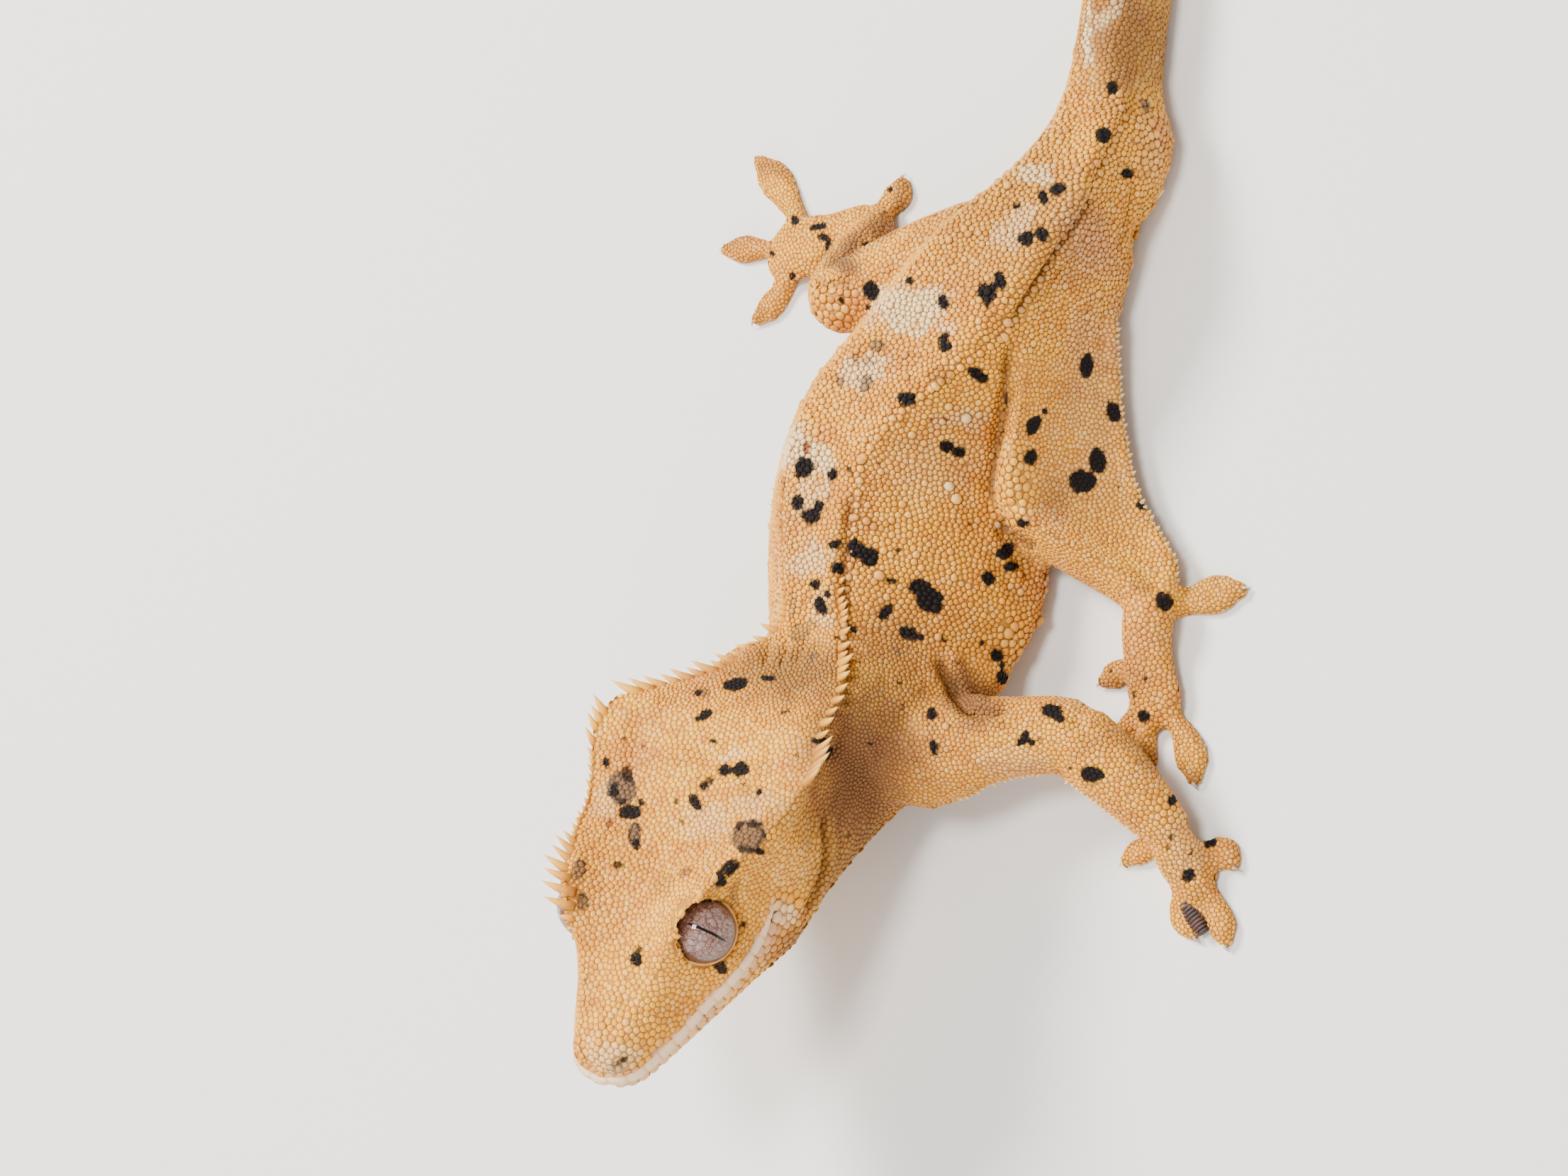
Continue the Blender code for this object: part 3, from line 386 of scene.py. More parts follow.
@dataclass(frozen=True)
class HeadAxes:
    """The head's own axes: forward along the snout, towards its left and up."""

    base: Point = (6.0, -13.3, 8.8)
    turn: float = math.radians(11.7)
    pitch: float = math.radians(24.6)
    roll: float = math.radians(7.0)

    def axes(self) -> tuple[Array, Array, Array]:
        """Forward, left and up as unit vectors in the model's axes.

        Returns:
            Three vectors.
        """
        ahead = np.array((-math.sin(self.turn), -math.cos(self.turn), 0.0))
        left = np.array((math.cos(self.turn), -math.sin(self.turn), 0.0))
        above = np.array((0.0, 0.0, 1.0))
        forward = ahead * math.cos(self.pitch) + above * math.sin(self.pitch)
        raised = above * math.cos(self.pitch) - ahead * math.sin(self.pitch)
        side = left * math.cos(self.roll) - raised * math.sin(self.roll)
        return forward, side, raised * math.cos(self.roll) + left * math.sin(self.roll)

    def point(self, ahead: float, left: float, up: float) -> Array:
        """A place in the model's millimetres from head coordinates."""
        axes = self.axes()
        return np.array(self.base) + axes[0] * ahead + axes[1] * left + axes[2] * up

    def coordinates(self, points: Array) -> Array:
        """Head coordinates of model points."""
        return (points - np.array(self.base)) @ np.stack(self.axes(), axis=1)


@dataclass
class Value:
    """One shader number that takes part in ordinary arithmetic."""

    tree: "NodeSheet"
    socket: Any

    def _math(self, operation: str, *inputs: Any) -> "Value":
        """A Math node over the given values."""
        node = self.tree.add("ShaderNodeMath", {"operation": operation}, dict(enumerate(inputs)))
        return Value(self.tree, node.outputs[0])

    def __add__(self, other: Any) -> "Value":
        """Sum."""
        return self._math("ADD", self, other)

    __radd__ = __add__

    def __sub__(self, other: Any) -> "Value":
        """Difference."""
        return self._math("SUBTRACT", self, other)

    def __rsub__(self, other: Any) -> "Value":
        """Difference from a plain number."""
        return self._math("SUBTRACT", other, self)

    def __mul__(self, other: Any) -> "Value":
        """Product."""
        return self._math("MULTIPLY", self, other)

    __rmul__ = __mul__

    def magnitude(self) -> "Value":
        """The value without its sign."""
        return self._math("ABSOLUTE", self)

    def step(self, low: float, high: float) -> "Value":
        """A soft step from 0 at low to 1 at high."""
        node = self.tree.add(
            "ShaderNodeMapRange", {"interpolation_type": "SMOOTHSTEP"},
            {"Value": self, "From Min": low, "From Max": high})
        return Value(self.tree, node.outputs["Result"])


@dataclass
class NodeSheet:
    """The node tree of one material."""

    name: str

    def __post_init__(self) -> None:
        """Make the material, and keep what its nodes are added to."""
        self.material = bpy.data.materials.new(self.name)
        self.material.use_nodes = True
        self.nodes = self.material.node_tree.nodes
        self.links = self.material.node_tree.links
        self.surface = self.nodes["Principled BSDF"]

    def add(self, kind: str, settings: dict[str, Any], inputs: dict[Any, Any]) -> Any:
        """One node.

        Args:
            kind: Blender's name for the type of node.
            settings: Its own properties, set before its sockets; a ramp's stops go under "stops".
            inputs: Its sockets by name or number, each a number, a colour or something to link.

        Returns:
            The node.
        """
        node = self.nodes.new(kind)
        for key, value in settings.items():
            if key == "stops":
                self._fill_ramp(node.color_ramp, value)
            else:
                setattr(node, key, value)
        for key, value in inputs.items():
            self.feed(node.inputs[key], value)
        return node

    def _fill_ramp(self, ramp: Any, stops: Sequence[tuple[float, Any]]) -> None:
        """Give a colour ramp its stops.

        Args:
            ramp: The ramp.
            stops: Places with their colours.
        """
        while len(ramp.elements) < len(stops):
            ramp.elements.new(1.0)
        for element, (place, colour) in zip(ramp.elements, stops):
            element.position = place
            element.color = colour

    def feed(self, target: Any, value: Any) -> None:
        """Link or set one socket.

        Args:
            target: The socket.
            value: A value, a socket to link, or what to set.
        """
        if isinstance(value, Value):
            self.links.new(value.socket, target)
        elif isinstance(value, bpy.types.NodeSocket):
            self.links.new(value, target)
        else:
            target.default_value = value

    def attribute(self, name: str) -> Value:
        """A number that the mesh carries."""
        node = self.add("ShaderNodeAttribute", {"attribute_name": name}, {})
        return Value(self, node.outputs["Fac"])

    def place(self) -> Any:
        """The point being shaded, in the object's own axes."""
        return self.add("ShaderNodeTexCoord", {}, {}).outputs["Object"]

    def noise(self, scale: float, detail: float = 2.0, rough: float = 0.5, at: Any = None) -> Value:
        """Noise over the surface, about 0.5 in the middle.

        Args:
            scale: Features per metre.
            detail: Octaves.
            rough: How strong the finer octaves are.
            at: Where it is read, or None for the object's own axes.

        Returns:
            The noise as a value.
        """
        node = self.add(
            "ShaderNodeTexNoise", {},
            {"Vector": at or self.place(), "Scale": scale, "Detail": detail, "Roughness": rough})
        return Value(self, node.outputs["Fac"])

    def mix(self, share: Any, under: Any, over: Any, blend: str = "MIX") -> Any:
        """One colour laid over another."""
        sockets = {0: share, 6: under, 7: over}
        return self.add("ShaderNodeMix", {"data_type": "RGBA", "blend_type": blend}, sockets).outputs[2]

    def layered(self, colour: Any, layers: Sequence[tuple[Any, Any]]) -> Any:
        """Colours laid over one another.

        Args:
            colour: The lowest one.
            layers: How much of each further colour, and the colour, from the bottom.

        Returns:
            The colour that shows.
        """
        for share, over in layers:
            colour = self.mix(share, colour, over)
        return colour

    def bump(self, height: Value, distance: float, strength: float) -> Any:
        """A normal bent by a height."""
        node = self.add(
            "ShaderNodeBump", {}, {"Height": height, "Distance": distance, "Strength": strength})
        return node.outputs["Normal"]

    def finish(self, **sockets: Any) -> Material:
        """Set the surface's sockets, written with underscores for spaces, and hand over the material.

        Args:
            sockets: Names of sockets with their values.

        Returns:
            The material.
        """
        for name, value in sockets.items():
            self.feed(self.surface.inputs[name.replace("_", " ")], value)
        return self.material


@dataclass(frozen=True)
class HideFinish:
    """Colours of the skin and of its scales, with painted shade in the grooves between scales and in the
    brownish tone.
    """

    tan: Row = srgb(218, 149, 44)
    amber: Row = srgb(235, 168, 40)
    orange: Row = srgb(186, 110, 44)
    cream: Row = srgb(230, 203, 152)
    # Dark colour of the brownish tone: partly the skin's own, partly painted shade
    brown: Row = srgb(98, 64, 46)
    rose: Row = srgb(198, 138, 100)
    black: Row = srgb(20, 13, 13)
    faded: Row = srgb(90, 70, 56)
    rust: Row = srgb(124, 60, 32)
    lip: Row = srgb(222, 192, 162)
    # Painted shade in the grooves between the scales and on the bare skin there
    groove: Row = srgb(124, 76, 40)
    tip: Row = srgb(238, 188, 98)

    def build(self, name: str, on_scales: bool) -> Material:
        """The material, for the bare skin or for the scales that lie on it.

        Args:
            name: The material's name.
            on_scales: Whether scales wear it.

        Returns:
            The material.
        """
        sheet = NodeSheet(name)
        broad = sheet.noise(140.0, 3.0, 0.55)
        mottle = sheet.noise(420.0, 3.0, 0.6)
        across = sheet.add(
            "ShaderNodeVectorMath", {"operation": "MULTIPLY"}, {0: sheet.place(), 1: (1.0, 2.2, 1.0)})
        bands = sheet.noise(150.0, 3.0, 0.6, across.outputs[0])
        fine = sheet.noise(2600.0, 2.0, 0.6)
        tone = {kind: sheet.attribute(kind.value) for kind in Tone}
        layers = [
            (mottle.step(0.50, 0.72) * 0.42, self.orange),
            (bands.step(0.48, 0.66) * 0.42, self.orange),
            (tone[Tone.GOLD] * 0.75, self.amber),
            (tone[Tone.ROSE] * 0.8, self.rose)]
        if on_scales:
            tint = sheet.attribute("tint")
            layers += [
                (tint.step(0.55, 1.0) * 0.20, self.cream),
                ((1 - tint).step(0.45, 1.0) * 0.48, self.orange)]
        # The brownish tone lays the skin's own colour and painted shade together
        layers += [(tone[Tone.BROWN] * 0.9, self.brown), (tone[Tone.PALE] * 0.85, self.cream)]
        if on_scales:
            # Painted shade low on each scale, darkest in the grooves between them
            low = (1 - sheet.attribute("rise")).step(0.15, 0.9)
            layers += [
                (low * 0.7, self.groove),
                (sheet.attribute("tip").step(0.15, 0.8) * 0.7, self.tip)]
        else:
            # The bare skin takes the painted shade of the grooves all over
            layers.append((0.6, self.groove))
        layers += [
            (tone[Tone.LIP], self.lip), (tone[Tone.RUST], self.rust),
            (tone[Tone.FADED], self.faded), (tone[Tone.DARK], self.black)]
        colour = sheet.mix(broad.step(0.36, 0.66), self.tan, self.amber)
        colour = sheet.layered(colour, layers)
        relief = sheet.bump(fine, 0.00007, 0.6)
        rough = 0.46 + fine * 0.16 + tone[Tone.DARK] * 0.25
        return sheet.finish(
            Base_Color=colour, Roughness=rough, Normal=relief, IOR=1.45, Specular_IOR_Level=0.2)


@dataclass(frozen=True)
class EyeFinish:
    """Iris, slit and rim of the eye, under one wet coat; the rim is darkened partly by its own colour and
    partly by painted shade under the lids.
    """

    iris: Row = srgb(140, 106, 96)
    vein: Row = srgb(74, 46, 40)
    pale: Row = srgb(168, 138, 128)
    # The iris's dark edge, partly its own colour and partly painted shade under the lids
    rim: Row = srgb(70, 38, 24)
    slit: Row = srgb(6, 4, 4)
    slit_half: float = 0.10

    def build(self, name: str) -> Material:
        """The material, which reads the mesh's distances from the slit and from the gaze.

        Args:
            name: The material's name.

        Returns:
            The material.
        """
        sheet = NodeSheet(name)
        off_gaze = sheet.attribute("off_gaze")
        run, off = sheet.attribute("slit_run"), sheet.attribute("slit_off")
        waver = (sheet.noise(2600.0) - 0.5) * 0.10
        half = (1 - run * run).step(-0.1, 0.5) * self.slit_half
        slit = (half - (off + waver).magnitude()).step(-0.02, 0.02)
        stray = sheet.add("ShaderNodeTexNoise", {}, {"Vector": sheet.place(), "Scale": 1100.0, "Detail": 3.0})
        bent = sheet.add(
            "ShaderNodeVectorMath", {"operation": "MULTIPLY_ADD"},
            {0: stray.outputs["Color"], 1: (0.0009,) * 3, 2: sheet.place()}).outputs[0]
        coarse, fine = (
            Value(sheet, sheet.add(
                "ShaderNodeTexVoronoi", {"feature": "DISTANCE_TO_EDGE"},
                {"Vector": bent, "Scale": scale}).outputs["Distance"]) for scale in (2400.0, 5200.0))
        cloud = sheet.noise(900.0, 3.0, 0.6)
        colour = sheet.mix(cloud.step(0.35, 0.68), self.iris, self.pale)
        # Towards the lids the rim darkens the iris, partly as painted shade
        colour = sheet.layered(colour, [
            ((1 - fine.step(0.02, 0.16)) * 0.5, self.vein), ((1 - coarse.step(0.01, 0.13)) * 0.8, self.vein),
            (off_gaze.step(0.66, 1.0) * 0.9, self.rim), (slit, self.slit)])
        return sheet.finish(
            Base_Color=colour, Roughness=0.32, Coat_Weight=1.0, Coat_Roughness=0.02, Coat_IOR=1.4,
            Specular_IOR_Level=0.0)


@dataclass(frozen=True)
class PlainFinish:
    """A plain finish with a little variation of its own."""

    name: str
    colour: Row
    other: Row
    roughness: float
    scale: float = 900.0
    depth: float = 0.00002

    def build(self) -> Material:
        """The material.

        Returns:
            The material.
        """
        sheet = NodeSheet(self.name)
        grain = sheet.noise(self.scale, 3.0, 0.6)
        colour = sheet.mix(grain.step(0.35, 0.7), self.colour, self.other)
        return sheet.finish(
            Base_Color=colour, Roughness=self.roughness, Normal=sheet.bump(grain, self.depth, 0.4))


def add_piece(name: str, mesh: Mesh, material: Material) -> Piece:
    """Link one finished mesh under its name with its material.

    Args:
        name: Its name.
        mesh: Its mesh.
        material: Its material.

    Returns:
        The piece.
    """
    piece = bpy.data.objects.new(name, mesh)
    bpy.context.scene.collection.objects.link(piece)
    mesh.materials.clear()
    mesh.materials.append(material)
    return piece


def mesh_from(name: str, points: Array, corners: Array, sizes: Array) -> Mesh:
    """A mesh in metres.

    Args:
        name: Its name.
        points: Its points in millimetres.
        corners: The point numbers of its faces, one face after another.
        sizes: How many corners each face has.

    Returns:
        The mesh.
    """
    mesh = bpy.data.meshes.new(name)
    mesh.vertices.add(len(points))
    mesh.vertices.foreach_set("co", (points * MM).astype(np.float32).ravel())
    mesh.loops.add(len(corners))
    mesh.loops.foreach_set("vertex_index", corners.astype(np.int32))
    mesh.polygons.add(len(sizes))
    mesh.polygons.foreach_set("loop_start", (np.cumsum(sizes) - sizes).astype(np.int32))
    mesh.update(calc_edges=True)
    return mesh


def bridged(bm: Body, rings: Sequence[Array]) -> None:
    """Join rings of points into one closed body.

    Args:
        bm: Where the body is added.
        rings: Rings with as many points each, in order.
    """
    loops = []
    for ring in rings:
        verts = [bm.verts.new(Vector(place)) for place in ring]
        loops.append([bm.edges.new(pair) for pair in zip(verts, verts[1:] + verts[:1])])
    for near, far in zip(loops, loops[1:]):
        bmesh.ops.bridge_loops(bm, edges=near + far)
    bmesh.ops.holes_fill(bm, edges=loops[0] + loops[-1], sides=0)


def finished(bm: Body, name: str) -> Mesh:
    """A smooth mesh in metres from a body in millimetres, its faces turned outwards.

    Args:
        bm: The body, which is freed.
        name: The mesh's name.

    Returns:
        The mesh.
    """
    bmesh.ops.recalc_face_normals(bm, faces=bm.faces)
    bmesh.ops.scale(bm, vec=(MM,) * 3, verts=bm.verts)
    mesh = bpy.data.meshes.new(name)
    bm.to_mesh(mesh)
    bm.free()
    mesh.shade_smooth()
    return mesh


def give(mesh: Mesh, name: str, values: Array) -> None:
    """Store one number for each point of a mesh."""
    layer = mesh.attributes.new(name, "FLOAT", "POINT")
    layer.data.foreach_set("value", values.astype(np.float32))


def points_of(mesh: Mesh) -> Array:
    """A mesh's points in millimetres.

    Args:
        mesh: The mesh.

    Returns:
        A row for each point.
    """
    flat = np.zeros(len(mesh.vertices) * 3, np.float32)
    mesh.vertices.foreach_get("co", flat)
    return flat.reshape(-1, 3).astype(float) / MM


def triangles_of(mesh: Mesh) -> Array:
    """A mesh's triangles as rows of three point numbers.

    Args:
        mesh: The mesh.

    Returns:
        A row for each triangle.
    """
    mesh.calc_loop_triangles()
    flat = np.zeros(len(mesh.loop_triangles) * 3, np.int32)
    mesh.loop_triangles.foreach_get("vertices", flat)
    return flat.reshape(-1, 3)


def point_normals(points: Array, triangles: Array) -> Array:
    """Outward unit normals at the points, from the triangles round them.

    Args:
        points: The points.
        triangles: Rows of three point numbers.

    Returns:
        A unit vector for each point.
    """
    corner = points[triangles]
    across = np.cross(corner[:, 1] - corner[:, 0], corner[:, 2] - corner[:, 0])
    total = np.zeros_like(points)
    for column in range(3):
        for axis in range(3):
            total[:, axis] += np.bincount(triangles[:, column], across[:, axis], len(points))
    return unit(total)


def distance_to_path(points: Array, path: Array) -> tuple[Array, Array]:
    """Distance from points to a line through path, and how far along it, from 0 to 1.

    Args:
        points: The points.
        path: The line's corners.

    Returns:
        Distances, and shares of the line's length.
    """
    best = np.full(len(points), np.inf)
    along = np.zeros(len(points))
    legs = np.linalg.norm(np.diff(path, axis=0), axis=1)
    travelled = np.concatenate(([0.0], np.cumsum(legs)))
    for index, (start, end) in enumerate(zip(path, path[1:])):
        leg = end - start
        share = np.clip(((points - start) @ leg) / max(float(leg @ leg), 1e-12), 0.0, 1.0)
        gap = np.linalg.norm(points - start - share[:, None] * leg, axis=1)
        nearer = gap < best
        best[nearer] = gap[nearer]
        along[nearer] = (travelled[index] + share[nearer] * legs[index]) / max(travelled[-1], 1e-9)
    return best, along


# The line of the mouth in head coordinates, ahead and up, then single places ahead, out and up
MOUTH_LINE: Array = np.array((
    (12.1, 5.1), (14.0, 4.6), (17.0, 4.1), (20.0, 3.8), (23.0, 3.65), (26.0, 3.7), (30.0, 4.0)))
MOUTH_CORNER: float = MOUTH_LINE[0, 0]
NOSTRIL_PLACE: Point = (28.0, 1.95, 6.0)
EAR_PLACE: Point = (4.3, 8.9, 4.6)
EYE_PLACE: Point = (16.9, 4.95, 8.5)
GAZE: Point = (0.33, 0.60, 0.66)
EYES: tuple[str, str] = ("eye_left", "eye_right")


def above_mouth(place: Array) -> Array:
    """How far places in head coordinates lie above the line of the mouth."""
    return place[:, 2] - np.interp(place[:, 0], MOUTH_LINE[:, 0], MOUTH_LINE[:, 1])


@dataclass
class Thorn:
    """One spine of the solids, from its root on the skin to its tip."""

    root: Array
    tip: Array


@dataclass(frozen=True)
class Fold:
    """A crease in the skin along a line of view pixels."""

    pixels: Pixels
    depth: float
    width: float
    lip: float = 0.35


FOLDS: tuple[Fold, ...] = (
    Fold(((1548, 262), (1520, 310), (1492, 352), (1466, 392), (1440, 432), (1424, 470)), 0.62, 0.46),
    Fold(((1500, 372), (1478, 402), (1456, 432)), 0.25, 0.35),
    Fold(((1424, 470), (1420, 530), (1416, 580), (1405, 640), (1400, 690), (1404, 730)), 0.55, 0.55),
    Fold(((1404, 730), (1420, 745), (1440, 760), (1462, 775)), 0.70, 0.55),
    Fold(((1398, 738), (1418, 768), (1440, 800), (1452, 824)), 0.40, 0.45),
    Fold(((1420, 752), (1440, 778), (1458, 802)), 0.35, 0.40),
    Fold(((1392, 770), (1412, 806), (1430, 850)), 0.20, 0.45),
    Fold(((1202, 690), (1196, 740), (1193, 790), (1190, 840), (1192, 880)), 0.55, 0.55, 0.1),
    Fold(((1192, 880), (1196, 930), (1196, 990), (1184, 1050), (1160, 1100)), 0.50, 0.60, 0.0),
    Fold(((1318, 925), (1330, 945), (1342, 968), (1356, 990), (1372, 1008)), 0.80, 0.60),
    Fold(((1356, 990), (1374, 1004), (1398, 1006), (1424, 1002)), 0.70, 0.60),
    Fold(((1230, 960), (1222, 1010), (1218, 1060), (1222, 1110)), 0.18, 0.55),
    Fold(((1250, 940), (1244, 990), (1240, 1040), (1246, 1100)), 0.14, 0.50),
    Fold(((1205, 1000), (1200, 1060), (1196, 1120), (1180, 1170)), 0.16, 0.45),
    Fold(((1028, 1246), (1040, 1268), (1048, 1294), (1050, 1318)), 0.22, 0.35),
    Fold(((1162, 1130), (1160, 1170), (1163, 1215), (1150, 1262), (1128, 1300)), 0.60, 0.50),
    Fold(((1606, 120), (1590, 160), (1572, 196), (1556, 232), (1530, 280)), 0.28, 0.45),
    Fold(((1600, 250), (1592, 285), (1586, 320), (1572, 362)), 0.22, 0.45),
    Fold(((1625, 30), (1612, 70), (1600, 100), (1588, 130)), 0.14, 0.35),
    Fold(((1636, 30), (1624, 70), (1612, 104)), 0.14, 0.35),
    Fold(((1540, 400), (1528, 480), (1520, 560), (1516, 620)), 0.12, 0.40),
    Fold(((1560, 420), (1552, 500), (1545, 580)), 0.10, 0.40),
    Fold(((1270, 1000), (1292, 1040), (1300, 1090)), 0.12, 0.50),
    Fold(((1510, 1010), (1530, 1040), (1545, 1070)), 0.12, 0.45),
    Fold(((1150, 396), (1162, 402), (1184, 402), (1206, 396)), 0.45, 0.45),
    Fold(((1046, 934), (1040, 914), (1038, 898)), 0.30, 0.30),
    Fold(((1062, 938), (1060, 916), (1062, 896)), 0.30, 0.30),
    Fold(((1080, 944), (1082, 920), (1088, 898)), 0.30, 0.30),
    Fold(((1100, 946), (1106, 922), (1114, 902)), 0.26, 0.30),
    Fold(((1122, 940), (1130, 918), (1140, 900)), 0.22, 0.30),
)

# Broad swells and hollows of the flesh: x, y, width, height, turn, lift in millimetres
MOUNDS: tuple[Row, ...] = (
    (1106, 1194, 150, 110, 50, 0.95), (1012, 1032, 130, 62, 8, 0.45), (955, 1058, 76, 66, 0, 0.35),
    (815, 1225, 60, 120, 0, 0.35), (896, 1052, 34, 120, -8, -0.35), (926, 1214, 60, 60, 30, -0.3),
    (1000, 1082, 120, 22, -6, -0.3), (1088, 1158, 150, 30, 50, -0.4), (905, 1400, 50, 150, -12, -0.25),
    (962, 1236, 120, 34, 35, 0.3), (1058, 925, 60, 44, 0, 0.5), (1614, 338, 44, 76, 0, -1.2),
    (1055, 1085, 90, 60, 20, 0.3), (1300, 1010, 70, 130, 20, 0.35), (1400, 960, 70, 60, 0, 0.5),
    (1428, 690, 66, 130, 0, 0.45))


@dataclass
class Flesh:
    """The solids of flesh, cleared of their spines and claws and made one skin."""

    nodes: dict[str, Piece]
    lens: Lens
    head: HeadAxes
    shift: Array
    eyes: dict[str, Array]
    eye_radius: float
    voxel: float = 0.38
    swell: float = 0.28
    digit_swell: float = 0.05
    coat: float = 0.16
    digit_coat: float = 0.07
    claw_length: float = 0.95
    spine_angle: float = 2.6
    thorns: list[Thorn] = field(default_factory=list)
    claws: list[tuple[Array, Array]] = field(default_factory=list)
    names: list[str] = field(default_factory=list)

    def gaze(self, centre: Array) -> Array:
        """The way an eye looks out of the head.

        Args:
            centre: The eye's middle.

        Returns:
            A unit vector.
        """
        name = min(self.eyes, key=lambda key: float(np.linalg.norm(self.eyes[key] - centre)))
        side = 1.0 if name == "eye_left" else -1.0
        return unit(np.array(GAZE) * np.array((1.0, side, 1.0)) @ np.stack(self.head.axes()))

    def view(self, points: Array) -> Array:
        """View pixels of points in the row's frame."""
        return self.lens.project(points - self.shift)

    def is_digit(self, name: str) -> bool:
        """Whether a solid is a finger or a toe."""
        return name.startswith(("finger", "toe"))

    def _bare(self, name: str) -> Body:
        """A merged copy of one solid without its spines, or without its claw.

        Args:
            name: The solid's name.

        Returns:
            The copy, in millimetres.
        """
        bm = bmesh.new()
        bm.from_mesh(self.nodes[name].data)
        bmesh.ops.scale(bm, vec=(1 / MM,) * 3, verts=bm.verts)
        bmesh.ops.remove_doubles(bm, verts=bm.verts, dist=0.002)
        if name in ("head", "neck", "torso_front"):
            self._cut_spines(bm)
        if self.is_digit(name):
            self._cut_claw(bm, name)
        bmesh.ops.holes_fill(bm, edges=[e for e in bm.edges if e.is_boundary], sides=0)
        bmesh.ops.triangulate(bm, faces=bm.faces)
        bmesh.ops.recalc_face_normals(bm, faces=bm.faces)
        bm.normal_update()
        return bm

    def _cut_spines(self, bm: Body) -> None:
        """Take the tip of each spine away with its sides, and note where it stood.

        Args:
            bm: The solid.
        """
        tips = [v for v in bm.verts if sum(loop.calc_angle() for loop in v.link_loops) < self.spine_angle]
        for vert in tips:
            ring = [edge.other_vert(vert).co for edge in vert.link_edges]
            root = np.mean([np.array(place) for place in ring], axis=0)
            self.thorns.append(Thorn(root, np.array(vert.co)))
        bmesh.ops.delete(bm, geom=tips, context="VERTS")

    def _cut_claw(self, bm: Body, name: str) -> None:
        """Cut a digit off at the root of its claw, and note where the claw goes.

        Args:
            bm: The digit.
            name: Its name.
        """
        limb = name.replace("finger", "hand").replace("toe", "foot")[:-2]
        palm = np.mean(self._box(limb), axis=0)
        points = np.array([v.co[:] for v in bm.verts])
        tip = points[np.argmax(np.linalg.norm((points - palm)[:, :2], axis=1))]
        near = points[np.linalg.norm(points - tip, axis=1) < 3.0].mean(axis=0)
        aim = unit((tip - near) * np.array((1.0, 1.0, 0.0)))
        start = tip - aim * self.claw_length
        bmesh.ops.bisect_plane(
            bm, geom=bm.verts[:] + bm.edges[:] + bm.faces[:], dist=1e-5, plane_co=Vector(start),
            plane_no=Vector(aim), clear_outer=True)
        self.claws.append((start, aim))

    def _box(self, name: str) -> tuple[Array, Array]:
        """A solid's lowest and highest corner in millimetres."""
        low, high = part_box(name)
        return np.array(low) / MM, np.array(high) / MM

    def build(self) -> "Skin":
        """The bare skin, remeshed whole, drawn back on the solids and sunk by the coat's depth.

        Returns:
            The skin, with its relief.
        """
        points: list[Array] = []
        swollen: list[Array] = []
        faces: list[Array] = []
        owners: list[int] = []
        count = 0
        self.names = sorted(name for name in self.nodes if not name.startswith("eye"))
        for index, name in enumerate(self.names):
            bm = self._bare(name)
            bm.verts.index_update()
            place = np.array([v.co[:] for v in bm.verts])
            normal = np.array([v.normal[:] for v in bm.verts])
            triangles = np.array([[v.index for v in f.verts] for f in bm.faces]) + count
            points.append(place)
            swollen.append(place + normal * (self.digit_swell if self.is_digit(name) else self.swell))
            faces.append(triangles)
            owners += [index] * len(triangles)
            count += len(place)
            bm.free()
        solid_points, solid_faces = np.concatenate(points), np.concatenate(faces)
        solids = BVHTree.FromPolygons(solid_points.tolist(), solid_faces.tolist())
        mesh = self._remeshed(np.concatenate(swollen), solid_faces)
        skin = Skin(mesh, self, solids, np.array(owners))
        skin.draw_back()
        skin.refine()
        skin.sculpt()
        return skin

    def _remeshed(self, points: Array, faces: Array) -> Mesh:
        """One closed surface round the swollen solids.

        Args:
            points: All points of the swollen solids.
            faces: Their triangles.

        Returns:
            The surface's mesh.
        """
        whole = mesh_from("swollen", points, faces.ravel(), np.full(len(faces), 3))
        rough = bpy.data.objects.new("swollen", whole)
        bpy.context.scene.collection.objects.link(rough)
        remesh = rough.modifiers.new("whole", "REMESH")
        remesh.mode = "VOXEL"
        remesh.voxel_size = self.voxel * MM
        graph = bpy.context.evaluated_depsgraph_get()
        mesh = bpy.data.meshes.new_from_object(rough.evaluated_get(graph))
        bpy.data.objects.remove(rough)
        return mesh


